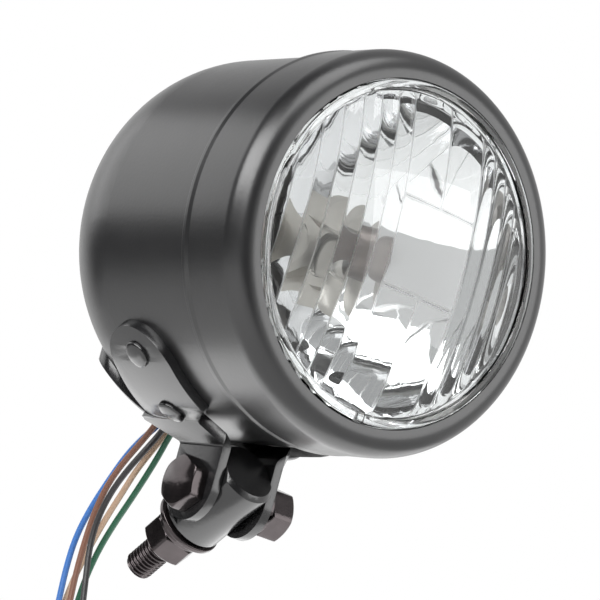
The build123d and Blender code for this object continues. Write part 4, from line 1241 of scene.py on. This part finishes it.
class HEADLIGHT_OT_fasteners(bpy.types.Operator):
    """Makes the pivot bolt, the threaded stud, their nuts and washers and the pivot block"""
    bl_idname = "headlight.fasteners"
    bl_label = "Pivot and stud"

    def execute(self, context):
        sizes = context.scene.headlight.sizes
        self.add_pivot(sizes)
        self.add_stud(sizes)
        return {"FINISHED"}

    def add_pivot(self, sizes):
        hex_piece("pivot_bolt_head", "pivot_bolt", "head", BOLT_PLACE, BOLT_HEAD_START, -EAR_OUT,
                  BOLT_HEAD_TURN, crowned_top=False)
        threaded("pivot_bolt_thread", "pivot_bolt", "head", BOLT_PLACE, -EAR_OUT, BOLT_TIP, sizes)
        spring_washer("pivot_spring_washer", "pivot_lock_washer", "head", BOLT_PLACE, EAR_OUT,
                      PIVOT_NUT_START, PIVOT_GAP_TURN)
        hex_piece("pivot_hex_nut", "pivot_nut", "head", BOLT_PLACE, PIVOT_NUT_START, PIVOT_NUT_END,
                  PIVOT_NUT_TURN, PIVOT_NUT_BORE_R)
        softened("pivot_bar", "pivot_block", "mount", BAR_ROUND * MM, 2)

    def add_stud(self, sizes):
        threaded("stud_thread", "mount_stud", "mount", STUD_PLACE, STUD_ROOT, STUD_TIP, sizes)
        washer = rounded([(WASHER_BORE_R, STUD_WASHER, 0.2), (FLAT_WASHER_R, STUD_WASHER, 0.4),
                          (FLAT_WASHER_R, STUD_LOCK, 0.4), (WASHER_BORE_R, STUD_LOCK, 0.2)], steps=4)
        turned_piece("stud_flat_washer", washer, STUD_PLACE, "black_fastener", "mount", "mount_washer",
                     turns=96)
        spring_washer("stud_spring_washer", "mount_lock_washer", "mount", STUD_PLACE, STUD_LOCK,
                      STUD_NUT_START, STUD_GAP_TURN)
        hex_piece("stud_hex_nut", "mount_nut", "mount", STUD_PLACE, STUD_NUT_START, STUD_NUT_END,
                  STUD_NUT_TURN, STUD_NUT_BORE_R)


class HEADLIGHT_OT_finishes(bpy.types.Operator):
    """Gives every CAD piece that still shows its finish"""
    bl_idname = "headlight.finishes"
    bl_label = "Finishes"

    def execute(self, context):
        for entry in RECORD["subparts"]:
            finish = NODE_FINISHES.get(entry["node"], entry["material_slot"])
            for slot in frame["nodes"][entry["node"]].material_slots:
                slot.material = MATERIALS[finish]
        return {"FINISHED"}


class HEADLIGHT_PT_panel(bpy.types.Panel):
    """Shows a button for each dressing step and the sizes, colours and stage settings"""
    bl_idname = "HEADLIGHT_PT_panel"
    bl_label = "Headlight"
    bl_space_type = "VIEW_3D"
    bl_region_type = "UI"
    bl_category = "Headlight"

    def draw(self, context):
        settings = context.scene.headlight
        for operator in OPERATORS:
            self.layout.operator(operator.bl_idname)
        for group in (settings.sizes, settings.colours, settings.stage):
            box = self.layout.box()
            for name in group.__annotations__:
                box.prop(group, name)


class HeadlightSettings(bpy.types.PropertyGroup):
    sizes: PointerProperty(type=HeadlightSizes, name="Sizes", description="Sizes of the dressed pieces")
    colours: PointerProperty(type=HeadlightColours, name="Colours", description="Colours of the finishes")
    stage: PointerProperty(type=HeadlightStage, name="Stage", description="Camera and floor")


OPERATORS = [HEADLIGHT_OT_stage, HEADLIGHT_OT_wires, HEADLIGHT_OT_lamp_unit, HEADLIGHT_OT_rim,
             HEADLIGHT_OT_bracket, HEADLIGHT_OT_fasteners, HEADLIGHT_OT_finishes]
CLASSES = [HeadlightSizes, HeadlightColours, HeadlightStage, HeadlightSettings, *OPERATORS,
           HEADLIGHT_PT_panel]


def register():
    for item in CLASSES:
        bpy.utils.register_class(item)
    bpy.types.Scene.headlight = PointerProperty(type=HeadlightSettings)


def unregister():
    del bpy.types.Scene.headlight
    for item in reversed(CLASSES):
        bpy.utils.unregister_class(item)


def main():
    register()
    MATERIALS.update(make_materials(bpy.context.scene.headlight.colours))
    bpy.ops.headlight.stage()
    bpy.ops.headlight.wires()
    bpy.ops.headlight.lamp_unit()
    bpy.ops.headlight.rim()
    bpy.ops.headlight.bracket()
    bpy.ops.headlight.fasteners()
    bpy.ops.headlight.finishes()


if __name__ == "__main__":
    main()
